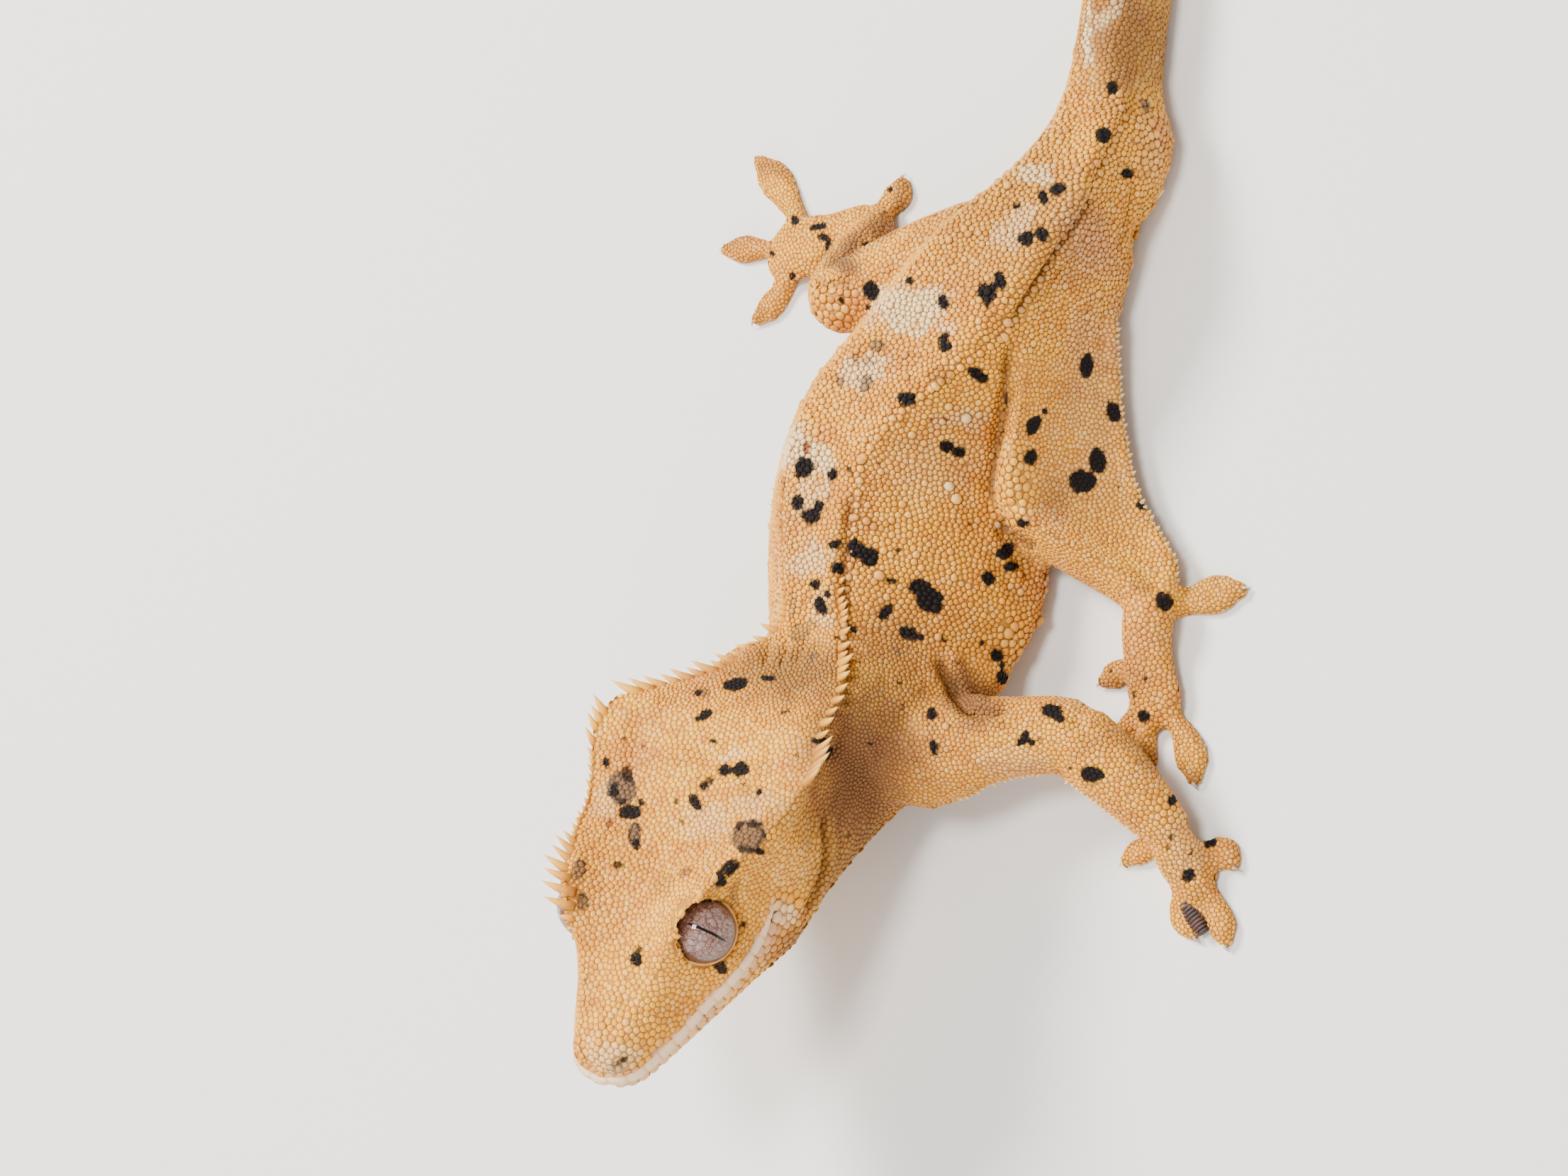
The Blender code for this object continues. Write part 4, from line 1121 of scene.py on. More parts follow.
@dataclass
class Skin:
    """The one skin: its points in millimetres, which solid each belongs to, and its relief."""

    mesh: Mesh
    flesh: Flesh
    solids: BVHTree
    owners: Array
    # Bands of relief along the mouth and round the nostril: where, half width, lift, and how steep
    mouth_bands: tuple[Row, ...] = ((0.0, 0.15, -0.34, 2), (0.5, 0.32, 0.20, 2), (-0.5, 0.30, 0.10, 2))
    nostril_bands: tuple[Row, ...] = ((0.0, 0.40, -0.55, 4), (0.8, 0.30, 0.14, 2))
    socket_gap: float = 0.05
    socket_reach: float = 0.42
    opening: float = 0.94
    shrink: float = 0.52
    regrow: float = 0.54
    fold_fade: float = 0.18
    fold_lip: float = 1.9
    # The mouth is followed by rays towards a point inside the head: where, from how far, and their fan
    mouth_middle: float = 10.0
    mouth_reach: float = 30.0
    mouth_fan: float = math.radians(76.0)
    mouth_rays: int = 320

    def __post_init__(self) -> None:
        """Read the mesh."""
        self._read()

    def _read(self) -> None:
        """Take the points, edges and triangles from the mesh."""
        mesh = self.mesh
        self.points = points_of(mesh)
        edges = np.zeros(len(mesh.edges) * 2, np.int32)
        mesh.edges.foreach_get("vertices", edges)
        self.edges = edges.reshape(-1, 2)
        self.degree = np.bincount(self.edges.ravel(), minlength=len(self.points)).astype(float)
        self.region = np.zeros(len(self.points), int)
        self.triangles = triangles_of(mesh)

    def smoothed(self, points: Array) -> Array:
        """Each point moved to the middle of its neighbours.

        Args:
            points: Their places.

        Returns:
            Their new places.
        """
        total = np.zeros_like(points)
        first, second = self.edges[:, 0], self.edges[:, 1]
        for axis in range(3):
            total[:, axis] += np.bincount(first, points[second, axis], len(points))
            total[:, axis] += np.bincount(second, points[first, axis], len(points))
        return total / self.degree[:, None]

    def relax(self, times: int, weight: Array | float = 1.0) -> None:
        """Smooth without shrinking, here and there less.

        Args:
            times: How often.
            weight: How much, as one number or one for each point.
        """
        share = weight if isinstance(weight, float) else weight[:, None]
        for _ in range(times):
            self.points += self.shrink * share * (self.smoothed(self.points) - self.points)
            self.points -= self.regrow * share * (self.smoothed(self.points) - self.points)

    def normals(self) -> Array:
        """Outward unit normals."""
        return point_normals(self.points, self.triangles)

    def draw_back(self) -> None:
        """Lay the surface on the solids, smooth it, and sink it by the depth of the coat."""
        flesh = self.flesh
        for number, point in enumerate(self.points):
            place, _normal, face, _gap = self.solids.find_nearest(point)
            self.points[number] = place
            self.region[number] = self.owners[face]
        digits = np.array([flesh.is_digit(name) for name in flesh.names])[self.region]
        self.relax(6, np.where(digits, 0.5, 1.0))
        self.relax(2)
        depth = np.where(digits, flesh.digit_coat, flesh.coat)
        self.points -= self.normals() * depth[:, None]

    def _head_places(self) -> Array:
        """Every point in head coordinates, with the right side laid on the left.

        Returns:
            Places ahead, out and up.
        """
        place = self.flesh.head.coordinates(self.points - self.flesh.shift)
        place[:, 1] = np.abs(place[:, 1])
        return place

    def refine(self) -> None:
        """Halve the edges round the mouth, the nostrils and the eyes, for finer relief there."""
        place = self._head_places()
        gape = np.abs(above_mouth(place))
        near = (gape < 1.0) & (place[:, 0] > MOUTH_CORNER - 0.6) & (place[:, 1] > 0.3)
        near |= np.linalg.norm(place - np.array(NOSTRIL_PLACE), axis=1) < 1.3
        centres = self.flesh.eyes.values()
        reach = np.min([np.linalg.norm(self.points - centre, axis=1) for centre in centres], axis=0)
        near |= np.abs(reach - self.flesh.eye_radius - 0.3) < 0.5
        region = self.region
        self.mesh.vertices.foreach_set("co", (self.points * MM).astype(np.float32).ravel())
        bm = bmesh.new()
        bm.from_mesh(self.mesh)
        edges = [edge for edge in bm.edges if near[edge.verts[0].index] and near[edge.verts[1].index]]
        bmesh.ops.subdivide_edges(bm, edges=edges, cuts=1, use_grid_fill=True)
        bmesh.ops.triangulate(bm, faces=[face for face in bm.faces if len(face.verts) > 4])
        bm.to_mesh(self.mesh)
        bm.free()
        self._read()
        self.region[:len(region)] = region
        for number in range(len(region), len(self.points)):
            self.region[number] = self.owners[self.solids.find_nearest(self.points[number])[2]]

    def regions_at(self, places: Array, tree: BVHTree) -> Array:
        """The solid that each of some places of the skin belongs to."""
        faces = [tree.find_nearest(place)[2] for place in places]
        return self.region[self.triangles[faces][:, 0]]

    def tree(self) -> BVHTree:
        """A search tree over the surface."""
        return BVHTree.FromPolygons(self.points.tolist(), self.triangles.tolist())

    def seen(self, across: float, down: float, tree: BVHTree) -> Array | None:
        """The point of the skin at one view pixel.

        Args:
            across: Pixels from the left.
            down: Pixels from the top.
            tree: A search tree over the skin.

        Returns:
            The place, or None beside the animal.
        """
        start, aim = self.flesh.lens.ray(across, down)
        place = tree.ray_cast(Vector(start + self.flesh.shift), Vector(aim))[0]
        return None if place is None else np.array(place)

    def mouth_row(self, rise: float, spacing: float, tree: BVHTree) -> Array:
        """Points along the mouth from corner to corner, some way above or below its line.

        Args:
            rise: How far above the line.
            spacing: The distance between points.
            tree: A search tree over the skin.

        Returns:
            The points.
        """
        head, shift = self.flesh.head, self.flesh.shift
        hits = []
        for turn in np.linspace(-self.mouth_fan, self.mouth_fan, self.mouth_rays):
            ahead = 20.0
            for _ in range(3):
                level = float(np.interp(ahead, MOUTH_LINE[:, 0], MOUTH_LINE[:, 1])) + rise
                start = head.point(self.mouth_middle, 0.0, level) + shift
                aim = head.axes()[0] * math.cos(turn) + head.axes()[1] * math.sin(turn)
                far = start + aim * self.mouth_reach
                place = tree.ray_cast(Vector(far), Vector(-aim))[0]
                if place is None:
                    break
                ahead = float(head.coordinates(np.array(place)[None] - shift)[0, 0])
            if place is not None and ahead > MOUTH_CORNER + 0.2:
                hits.append(np.array(place))
        line = np.array(hits)
        travelled = distances_along(line)
        stops = np.arange(spacing / 2, travelled[-1], spacing)
        return np.stack([np.interp(stops, travelled, line[:, axis]) for axis in range(3)], axis=1)

    def sculpt(self) -> None:
        """Folds, swells, the rims of the eyes, the nostrils and the line of the mouth."""
        tree = self.tree()
        normals = self.normals()
        move = np.zeros(len(self.points))
        for fold in FOLDS:
            path = [self.seen(x, y, tree) for x, y in fold.pixels]
            path = np.array([place for place in path if place is not None])
            if len(path) < 2:
                LOG.warning("a fold misses the skin near %s", fold.pixels[0])
                continue
            gap, along = distance_to_path(self.points, path)
            fade = smoothstep(0.0, self.fold_fade, along) * smoothstep(1.0, 1.0 - self.fold_fade, along)
            beside = gap - self.fold_lip * fold.width
            move -= fade * fold.depth * np.exp(-((gap / fold.width) ** 2))
            move += fade * fold.depth * fold.lip * np.exp(-((beside / fold.width) ** 2))
        seen = self.flesh.view(self.points)
        facing = smoothstep(-0.6, -0.1, normals @ self.flesh.lens.toward())
        for x, y, width, height, turn, lift in MOUNDS:
            move += lift * facing * np.exp(-2.0 * oval(seen, x, y, width, height, turn) ** 2)
        move += self._head_relief()
        self.points += normals * move[:, None]
        for _ in range(2):
            self._open_eyes()
            self._fit_eyes()
            self.relax(1)
        self._open_eyes()
        self._fit_eyes()

    def _head_relief(self) -> Array:
        """Relief of the nostrils and the mouth, in millimetres outwards.

        Returns:
            One number for each point.
        """
        place = self._head_places()
        move = np.zeros(len(place))
        gap = above_mouth(place)
        ends = smoothstep(MOUTH_CORNER - 0.5, MOUTH_CORNER + 1.0, place[:, 0])
        nostril = np.linalg.norm(place - np.array(NOSTRIL_PLACE), axis=1)
        for share, off, bands in ((ends, gap, self.mouth_bands), (1.0, nostril, self.nostril_bands)):
            for middle, width, lift, power in bands:
                move += share * lift * np.exp(-(((off - middle) / width) ** power))
        return move

    def _fit_eyes(self) -> None:
        """Draw the rim of each socket snugly round its eye."""
        for centre in self.flesh.eyes.values():
            away = self.points - centre
            reach = np.linalg.norm(away, axis=1)
            snug = self.flesh.eye_radius + self.socket_gap
            inside = reach < snug + self.socket_reach
            self.points[inside] = centre + unit(away[inside]) * snug

    def _open_eyes(self) -> None:
        """Push what hangs over each eye back to the rim of its opening."""
        for centre in self.flesh.eyes.values():
            gaze = self.flesh.gaze(centre)
            away = self.points - centre
            ahead = away @ gaze
            aside = away - ahead[:, None] * gaze
            off = np.linalg.norm(aside, axis=1)
            rim = self.flesh.eye_radius * self.opening
            over = (ahead > 0.5) & (ahead < 6.0) & (off < rim + 0.5)
            wanted = np.where(off < rim, rim + 0.12 * off / rim, off)
            wanted = np.maximum(wanted, off)
            self.points[over] = (centre + gaze * ahead[:, None] + unit(aside) * wanted[:, None])[over]

    def dress(self, pigment: "PigmentAndShade") -> Piece:
        """Write the points back, keep the tones on them, and hand over the piece.

        Args:
            pigment: What gives the tones.

        Returns:
            The piece.
        """
        self.mesh.vertices.foreach_set("co", (self.points * MM).astype(np.float32).ravel())
        self.mesh.update()
        self.mesh.shade_smooth()
        pigment.store(self.mesh, pigment.tones(self.points, self.normals()))
        self.mesh.name = "skin"
        return add_piece("skin", self.mesh, HideFinish().build("bare_skin", on_scales=False))


@dataclass
class PigmentAndShade:
    """The tones at any point of the skin, from the marks that the view shows and seeded ones elsewhere, with
    painted shade along the folds and the mouth.
    """

    skin: Skin
    seed: int = 23
    hidden_count: int = 150
    hidden_radii: Row = (0.25, 0.4, 0.55, 0.7, 0.85)
    hidden_level: float = 1.2
    # Layers of noise that fray the marks and the broad colour: size in millimetres, seed, strength
    frayed: tuple[tuple[float, int, float], ...] = ((0.42, 3, 0.6), (0.95, 4, 0.5))
    patchy: tuple[tuple[float, int, float], ...] = ((1.5, 9, 0.6), (0.6, 10, 0.55))
    # How far the edge of broad colour spreads, and how much the noise moves it
    pale_edge: Row = (0.45, 0.75)
    soft_edge: Row = (0.75, 0.2)
    # How dark the painted shade in a fold is for its depth, at most, and how many pixels wide for its width
    fold_shade: float = 1.3
    darkest_fold: float = 0.85
    fold_pixels: float = 14.0
    # Where the lip's colour begins and ends above the mouth, and how strong it is
    lip_band: Row = (-0.05, 0.1, 0.85, 1.15)
    lip_strength: float = 0.85
    # Width of the thin line of painted shade along the mouth
    gape_width: float = 0.16

    def __post_init__(self) -> None:
        """Find the marks' roots on the skin, and seed those of the hidden sides."""
        skin = self.skin
        self.flesh = skin.flesh
        self.tree = skin.tree()
        shown = (*DARK_MARKS, *FADED_MARKS, *RUST_MARKS)
        self.roots = {mark: skin.seen(mark[0], mark[1], self.tree) for mark in shown}
        rng = np.random.default_rng(self.seed)
        picks = rng.choice(len(skin.points), self.hidden_count, replace=False)
        radii = rng.choice(self.hidden_radii, self.hidden_count)
        away = skin.normals()[picks] @ self.flesh.lens.toward() < 0.12
        self.hidden = [
            (skin.points[pick], float(radius)) for pick, radius, kept in zip(picks, radii, away)
            if kept and skin.points[pick][2] > self.hidden_level]

    def _marked(self, rows: Iterable[Row], points: Array, seen: Array, ragged: Array,
                hollow: float = 0.0) -> Array:
        """How strongly a set of marks covers each point, or only their rims where they are hollow.

        Args:
            rows: The marks.
            points: The points.
            seen: Their view pixels.
            ragged: Noise there, which frays the edges.
            hollow: The share of each mark that is left out, from its middle.

        Returns:
            A number from 0 to 1 for each point.
        """
        cover = np.zeros(len(points))
        for mark in rows:
            x, y, width, height, turn, strength = mark
            root = self.roots[mark]
            if root is None:
                continue
            reach = 0.75 * max(width, height) / self.flesh.lens.scale + 0.5
            near = np.flatnonzero(np.abs(seen - (x, y)).max(axis=1) < reach * self.flesh.lens.scale)
            near = near[np.linalg.norm(points[near] - root, axis=1) < reach]
            edge = oval(seen[near], x, y, width, height, turn)
            edge = edge + ragged[near] * min(0.5, 4.6 / max(width, height) + 0.16)
            shade = strength * smoothstep(1.28, 1.02, edge)
            if hollow:
                shade = shade * smoothstep(hollow, hollow + 0.3, edge)
            cover[near] = np.maximum(cover[near], shade)
        return cover

    def _hidden_marks(self, points: Array, facing: Array) -> Array:
        """Seeded dark marks on the sides that the view doesn't show.

        Args:
            points: The points.
            facing: How far each is turned to the view.

        Returns:
            A number from 0 to 1 for each point.
        """
        cover = np.zeros(len(points))
        turned = np.flatnonzero(facing < 0.15)
        ragged = lattice_noise(points[turned], 0.55, 5)
        for place, radius in self.hidden:
            near = np.flatnonzero(np.abs(points[turned] - place).max(axis=1) < 1.5 * radius)
            gap = np.linalg.norm(points[turned[near]] - place, axis=1)
            mark = smoothstep(1.1, 0.9, gap / radius + 0.3 * ragged[near])
            cover[turned[near]] = np.maximum(cover[turned[near]], mark)
        return cover * smoothstep(0.15, 0.0, facing)

    def marks(self, points: Array, facing: Array) -> dict[Tone, Array]:
        """The dark, faded and rusty marks.

        Args:
            points: Places in millimetres, in the row's frame.
            facing: How far the skin there is turned to the view, from -1 to 1.

        Returns:
            How strongly each kind of mark covers each point.
        """
        seen = self.flesh.view(points)
        ragged = layered_noise(points, self.frayed)
        faded = self._marked(FADED_MARKS, points, seen, ragged)
        large = [mark for mark in FADED_MARKS if min(mark[2], mark[3]) > 15]
        rim = self._marked(large, points, seen, ragged, hollow=0.55)
        speck = smoothstep(-0.25, 0.35, lattice_noise(points, 0.38, 14))
        dark = np.maximum(self._marked(DARK_MARKS, points, seen, ragged), self._hidden_marks(points, facing))
        return {
            Tone.DARK: np.maximum(dark, rim * speck), Tone.FADED: faded,
            Tone.RUST: self._marked(RUST_MARKS, points, seen, ragged)}

    def tones(self, points: Array, normals: Array) -> dict[Tone, Array]:
        """Every tone at the given points.

        Args:
            points: Places in millimetres, in the row's frame.
            normals: The skin's outward direction there.

        Returns:
            A number from 0 to 1 for each tone and point.
        """
        seen = self.flesh.view(points)
        found = {tone: np.zeros(len(points)) for tone in Tone}
        found.update(self.marks(points, normals @ self.flesh.lens.toward()))
        patchy = layered_noise(points, self.patchy)
        for tone, rows in BROAD.items():
            spread, fray = self.pale_edge if tone is Tone.PALE else self.soft_edge
            for x, y, width, height, turn, strength in rows:
                edge = oval(seen, x, y, width, height, turn) + patchy * fray
                cover = strength * smoothstep(1.0 + spread * 0.4, 1.0 - spread, edge)
                found[tone] = np.maximum(found[tone], cover)
        facing = smoothstep(-0.1, 0.3, normals @ self.flesh.lens.toward())
        # Painted shade along each fold, in the brownish tone
        for fold in FOLDS:
            gap, along = distance_to_path(seen, np.array(fold.pixels))
            shade = np.exp(-((gap / (self.fold_pixels * fold.width)) ** 2))
            shade *= min(self.darkest_fold, self.fold_shade * fold.depth)
            shade *= smoothstep(0.0, 0.15, along) * smoothstep(1.0, 0.85, along)
            found[Tone.BROWN] = np.maximum(found[Tone.BROWN], shade * facing)
        place = self.flesh.head.coordinates(points - self.flesh.shift)
        above = above_mouth(place)
        on_head = smoothstep(MOUTH_CORNER - 0.3, MOUTH_CORNER + 0.6, place[:, 0])
        below, seam, full, over = self.lip_band
        lip = smoothstep(below, seam, above) * smoothstep(over, full, above)
        found[Tone.LIP] = on_head * lip * self.lip_strength
        # A thin line of painted shade along the mouth, in the brownish tone
        gape = np.exp(-((above / self.gape_width) ** 2)) * on_head
        found[Tone.BROWN] = np.maximum(found[Tone.BROWN], gape)
        return found

    def store(self, mesh: Mesh, tones: dict[Tone, Array]) -> None:
        """Keep the tones on a mesh."""
        for tone, values in tones.items():
            give(mesh, tone.value, values)


# Spacing of the scales in millimetres, by the start of the solid's name
PITCH: tuple[tuple[str, float], ...] = (
    ("head", 0.49), ("jaw", 0.52), ("neck", 0.41), ("torso_front", 0.44), ("torso_rear", 0.45),
    ("tail_base", 0.45), ("tail", 0.42), ("upper_arm", 0.43), ("forearm", 0.45), ("hand", 0.42),
    ("finger", 0.38), ("thigh", 0.43), ("shank", 0.44), ("foot", 0.46), ("toe", 0.38))
BELLY_PITCH = 0.75

# Places where the view shows larger or finer scales: x, y, width, height, turn, spacing
PITCH_ZONES: tuple[Row, ...] = (
    (1428, 690, 70, 130, 0, 0.72), (1170, 430, 84, 76, 0, 0.86), (1650, 1140, 60, 50, 0, 0.58),
    (1630, 190, 70, 150, 0, 0.56), (1480, 230, 130, 110, -40, 0.50), (1430, 920, 50, 110, 0, 0.62),
    (1112, 1285, 46, 60, 0, 1.0), (1300, 320, 200, 90, 40, 0.50), (1130, 600, 110, 160, 0, 0.50),
    (1200, 1050, 110, 240, 0, 0.37), (1390, 990, 90, 50, 0, 0.40), (1500, 420, 90, 260, 15, 0.42),
    (990, 1310, 150, 140, 0, 0.44), (880, 1480, 140, 110, 0, 0.58), (1640, 60, 50, 160, 0, 0.44),
    (1100, 1340, 60, 150, -35, 0.62), (1390, 440, 60, 90, 0, 0.52))

# Larger scales that stand alone, in view pixels, with their size and how pale they are
TUBERCLES: tuple[Row, ...] = (
    (1338, 687, 0.95, 1.0), (1362, 590, 0.95, 0.9), (1348, 704, 1.0, 0.3), (1205, 731, 0.95, 0.2),
    (1216, 649, 0.95, 0.1), (1319, 545, 0.9, 0.1), (1415, 475, 1.0, 0.2), (1240, 812, 0.9, 0.2),
    (1420, 455, 0.9, 0.2), (1406, 740, 0.8, 0.5), (1222, 735, 0.8, 0.1), (1335, 1025, 0.7, 0.2))

# The line of larger scales down the middle of the back, from the crest to the tail
CREST_TAIL: Pixels = (
    (1190, 900), (1196, 840), (1203, 780), (1208, 731), (1216, 649), (1258, 592), (1319, 545), (1372, 505),
    (1415, 475), (1442, 436), (1465, 400), (1490, 347), (1533, 281), (1564, 217), (1592, 153))

# Rows of scales along the mouth: height over its line, spacing, height for their size, lip colour
LIP_ROWS: tuple[Row, ...] = ((-0.44, 1.0, 0.24, 0.45), (-1.24, 0.84, 0.34, 0.2), (-1.96, 0.7, 0.4, 0.1))

# How high the scales stand for their size, by the start of the solid's name
RELIEF: tuple[tuple[str, float], ...] = (
    ("head", 0.38), ("jaw", 0.45), ("neck", 0.80), ("torso", 1.02), ("tail", 0.58), ("upper_arm", 0.62),
    ("forearm", 0.62), ("hand", 0.62), ("finger", 0.60), ("thigh", 0.62), ("shank", 0.62), ("foot", 0.62),
    ("toe", 0.60))

# How broad their tops are, and how strong the painted shade between them, in the same terms
BREADTH: tuple[tuple[str, float], ...] = (
    ("head", 0.84), ("jaw", 0.80), ("tail", 0.78), ("torso", 0.64), ("", 0.66))
GROOVE_SHADE: tuple[tuple[str, float], ...] = (
    ("head", 0.48), ("jaw", 0.6), ("neck", 0.65), ("tail", 0.7), ("", 0.9))

# How many times longer than broad the scales are, in the same terms
ASPECT: tuple[tuple[str, float], ...] = (("torso", 1.30), ("tail", 1.25), ("", 1.0))

# The pieces of the coat, and the starts of the names of the solids under each
GROUPS: tuple[tuple[str, tuple[str, ...]], ...] = (
    ("head", ("head", "jaw")), ("neck", ("neck",)), ("trunk_front", ("torso_front",)),
    ("trunk_rear", ("torso_rear",)), ("tail", ("tail",)),
    ("arms", ("upper_arm", "forearm", "hand", "finger")), ("legs", ("thigh", "shank", "foot", "toe")))


@dataclass
class SeedBed:
    """Roots of the scales, with their spacing, height and whether they may move."""

    places: Array
    sizes: Array
    heights: Array
    fixed: Array
    bare: Array
    lip: Array
    gold: Array
    pale: Array

    @classmethod
    def of(cls, places: Array, sizes: Array | float, height: Array | float = 1.0, fixed: bool = True,
           bare: bool = False, lip: float = 0.0, gold: float = 0.0,
           pale: Array | float = 0.0) -> "SeedBed":
        """A bed whose scales are alike.

        Args:
            places: Where the roots are.
            sizes: Their spacing, one number or one for each.
            height: How tall they are for their size.
            fixed: Whether they stay where they are.
            bare: Whether they only keep room for something else.
            lip: How much lip colour they have.
            gold: How golden they are.
            pale: How pale they are.

        Returns:
            The bed.
        """
        rows = [
            np.broadcast_to(np.asarray(value, float), (len(places),)).copy()
            for value in (sizes, height, fixed, bare, lip, gold, pale)]
        return cls(places, rows[0], rows[1], rows[2] > 0.5, rows[3] > 0.5, *rows[4:])

    def joined(self, other: "SeedBed") -> "SeedBed":
        """Both beds in one."""
        names = self.__dataclass_fields__
        return SeedBed(*(np.concatenate((getattr(self, name), getattr(other, name))) for name in names))

    def kept(self, keep: Array) -> "SeedBed":
        """The bed without some of its roots."""
        return SeedBed(*(getattr(self, name)[keep] for name in self.__dataclass_fields__))


@dataclass
class Scales:
    """Granular scales: their places over the skin, their outlines and their domes."""

    skin: Skin
    pigment: PigmentAndShade
    spine_roots: Array
    sides: int = 7
    height: float = 0.36
    sunk: float = -0.12
    edge: float = 1.0
    shoulder: float = 0.84
    lean: float = 0.26
    knob_share: float = 0.035
    piece_limit: int = 7400
    seed: int = 7
    mouth_band: tuple[float, float] = (-2.26, 0.86)
    ear_size: Point = (0.4, 0.8, 0.6)
    nostril_size: float = 0.36
    eye_gap: float = 0.26
    floor_gap: float = 0.12
    grain_slant: float = 0.36
    spread_share: float = 0.42
    spread_room: float = 1.03
    crest_room: float = 0.62
    # The ring of scales round each eye: distance from the globe, count, and the middle of its brow
    ring_gap: float = 0.42
    ring_count: int = 30
    brow_turn: float = math.radians(100.0)
    brow_reach: float = 0.45
    narrowest: float = 0.30
    widest: float = 0.66
    patch: float = 0.0014
    regions: Array = field(init=False)
    finish: Material = field(init=False)

    def __post_init__(self) -> None:
        """Read the skin once for all the steps."""
        self.flesh = self.skin.flesh
        self.rng = np.random.default_rng(self.seed)
        self.normals = self.skin.normals()
        self.tree = self.skin.tree()
        self.steps = 12
        self.bed = self._fixed_bed()

    def pitch(self, points: Array, region: Array, normals: Array) -> Array:
        """Spacing of the scales at points of the skin.

        Args:
            points: The points.
            region: Which solid each is on.
            normals: The outward direction there.

        Returns:
            Spacings in millimetres.
        """
        spacing = by_start(PITCH, self.flesh.names)[region]
        seen = self.flesh.view(points)
        facing = normals @ self.flesh.lens.toward() > -0.1
        for x, y, width, height, turn, size in PITCH_ZONES:
            share = smoothstep(1.25, 0.6, oval(seen, x, y, width, height, turn)) * facing
            spacing = spacing * (1 - share) + size * share
        under = smoothstep(-0.35, -0.75, normals[:, 2])
        return spacing * (1 - under) + np.maximum(spacing, BELLY_PITCH) * under

    def _along(self, pixels: Sequence[tuple[float, float]], spacing: float) -> Array:
        """Points of the skin at an even spacing along a line of view pixels.

        Args:
            pixels: The line.
            spacing: The distance between points.

        Returns:
            The points.
        """
        line = np.array(pixels, float)
        legs = distances_along(line)
        stops = np.arange(0.0, legs[-1], spacing * self.flesh.lens.scale)
        track = np.stack([np.interp(stops, legs, line[:, axis]) for axis in (0, 1)], axis=1)
        found = [self.skin.seen(float(x), float(y), self.tree) for x, y in track]
        return np.array([place for place in found if place is not None])

    def eye_ring(self, centre: Array, gap: float, count: int) -> tuple[Array, Array]:
        """Points of the skin round one eye, and their turns about it.

        Args:
            centre: The eye's middle.
            gap: The ring's distance from the globe.
            count: How many points.

        Returns:
            The points, and their turns.
        """
        away = self.skin.points - centre
        reach = np.linalg.norm(away, axis=1)
        ring = np.flatnonzero(np.abs(reach - self.flesh.eye_radius - gap) < 0.16)
        gaze = self.flesh.gaze(centre)
        ring = ring[(self.normals[ring] @ gaze > 0.0) & (away[ring] @ gaze > -0.5)]
        side = unit(np.cross(gaze, np.array((0.0, 0.0, 1.0))))
        rise = np.cross(side, gaze)
        turns = np.arctan2(away[ring] @ rise, away[ring] @ side)
        wanted = np.linspace(-math.pi, math.pi, count, endpoint=False)
        picks = [ring[np.argmin(np.abs(np.angle(np.exp(1j * (turns - turn)))))] for turn in wanted]
        return self.skin.points[picks], wanted

    def _fixed_bed(self) -> SeedBed:
        """The scales that have their own places: lips, eye rims, single large ones and the back's line.

        Returns:
            The bed.
        """
        bed = SeedBed.of(self.spine_roots, self.crest_room, bare=True)
        for rise, spacing, height, lip in LIP_ROWS:
            bed = bed.joined(SeedBed.of(
                self.skin.mouth_row(rise, spacing, self.tree), spacing, height=height, lip=lip))
        for centre in self.flesh.eyes.values():
            ring, turns = self.eye_ring(centre, self.ring_gap, self.ring_count)
            brow = np.cos(turns - self.brow_turn) > self.brow_reach
            bed = bed.joined(SeedBed.of(ring[~brow], 0.46, height=0.7, gold=0.3))
            bed = bed.joined(SeedBed.of(ring[brow], 0.66, height=1.05, gold=1.0, pale=0.25))
        single = [(self.skin.seen(x, y, self.tree), size, pale) for x, y, size, pale in TUBERCLES]
        single = [row for row in single if row[0] is not None]
        bed = bed.joined(SeedBed.of(
            np.array([row[0] for row in single]), np.array([row[1] for row in single]), height=1.25,
            pale=np.array([row[2] for row in single])))
        back = self._along(CREST_TAIL, 1.0)
        return bed.joined(SeedBed.of(back, 0.68, height=1.7, gold=0.5, pale=0.1))

    def _scattered(self) -> SeedBed:
        """Free roots over the whole skin, as many as its area and spacing ask for.

        Returns:
            The bed.
        """
        corner = self.skin.points[self.skin.triangles]
        across = np.cross(corner[:, 1] - corner[:, 0], corner[:, 2] - corner[:, 0])
        area = 0.5 * np.linalg.norm(across, axis=1)
        first = self.skin.triangles[:, 0]
        spacing = self.pitch(corner.mean(axis=1), self.skin.region[first], self.normals[first])
        aspect = by_start(ASPECT, self.flesh.names)
        total = np.cumsum(area / (0.866 * spacing ** 2 * aspect[self.skin.region[first]]))
        count = int(total[-1])
        picks = np.searchsorted(total, (np.arange(count) + self.rng.random(count)) * total[-1] / count)
        picks = np.minimum(picks, len(total) - 1)
        share = self.rng.random((count, 2))
        share = np.where(share.sum(axis=1, keepdims=True) > 1.0, 1.0 - share, share)
        a, b, c = corner[picks, 0], corner[picks, 1], corner[picks, 2]
        places = a + (b - a) * share[:, :1] + (c - a) * share[:, 1:]
        sizes = spacing[picks] * (1.0 + 0.08 * self.rng.standard_normal(count)).clip(0.84, 1.25)
        body = [name.startswith(("torso", "tail_base")) for name in self.flesh.names]
        knob = np.array(body)[self.skin.region[first[picks]]] & (self.rng.random(count) < self.knob_share)
        return SeedBed.of(
            places, sizes * np.where(knob, 1.35, 1.0), height=np.where(knob, 1.3, 1.0), fixed=False,
            pale=np.where(knob, 0.10, 0.0))

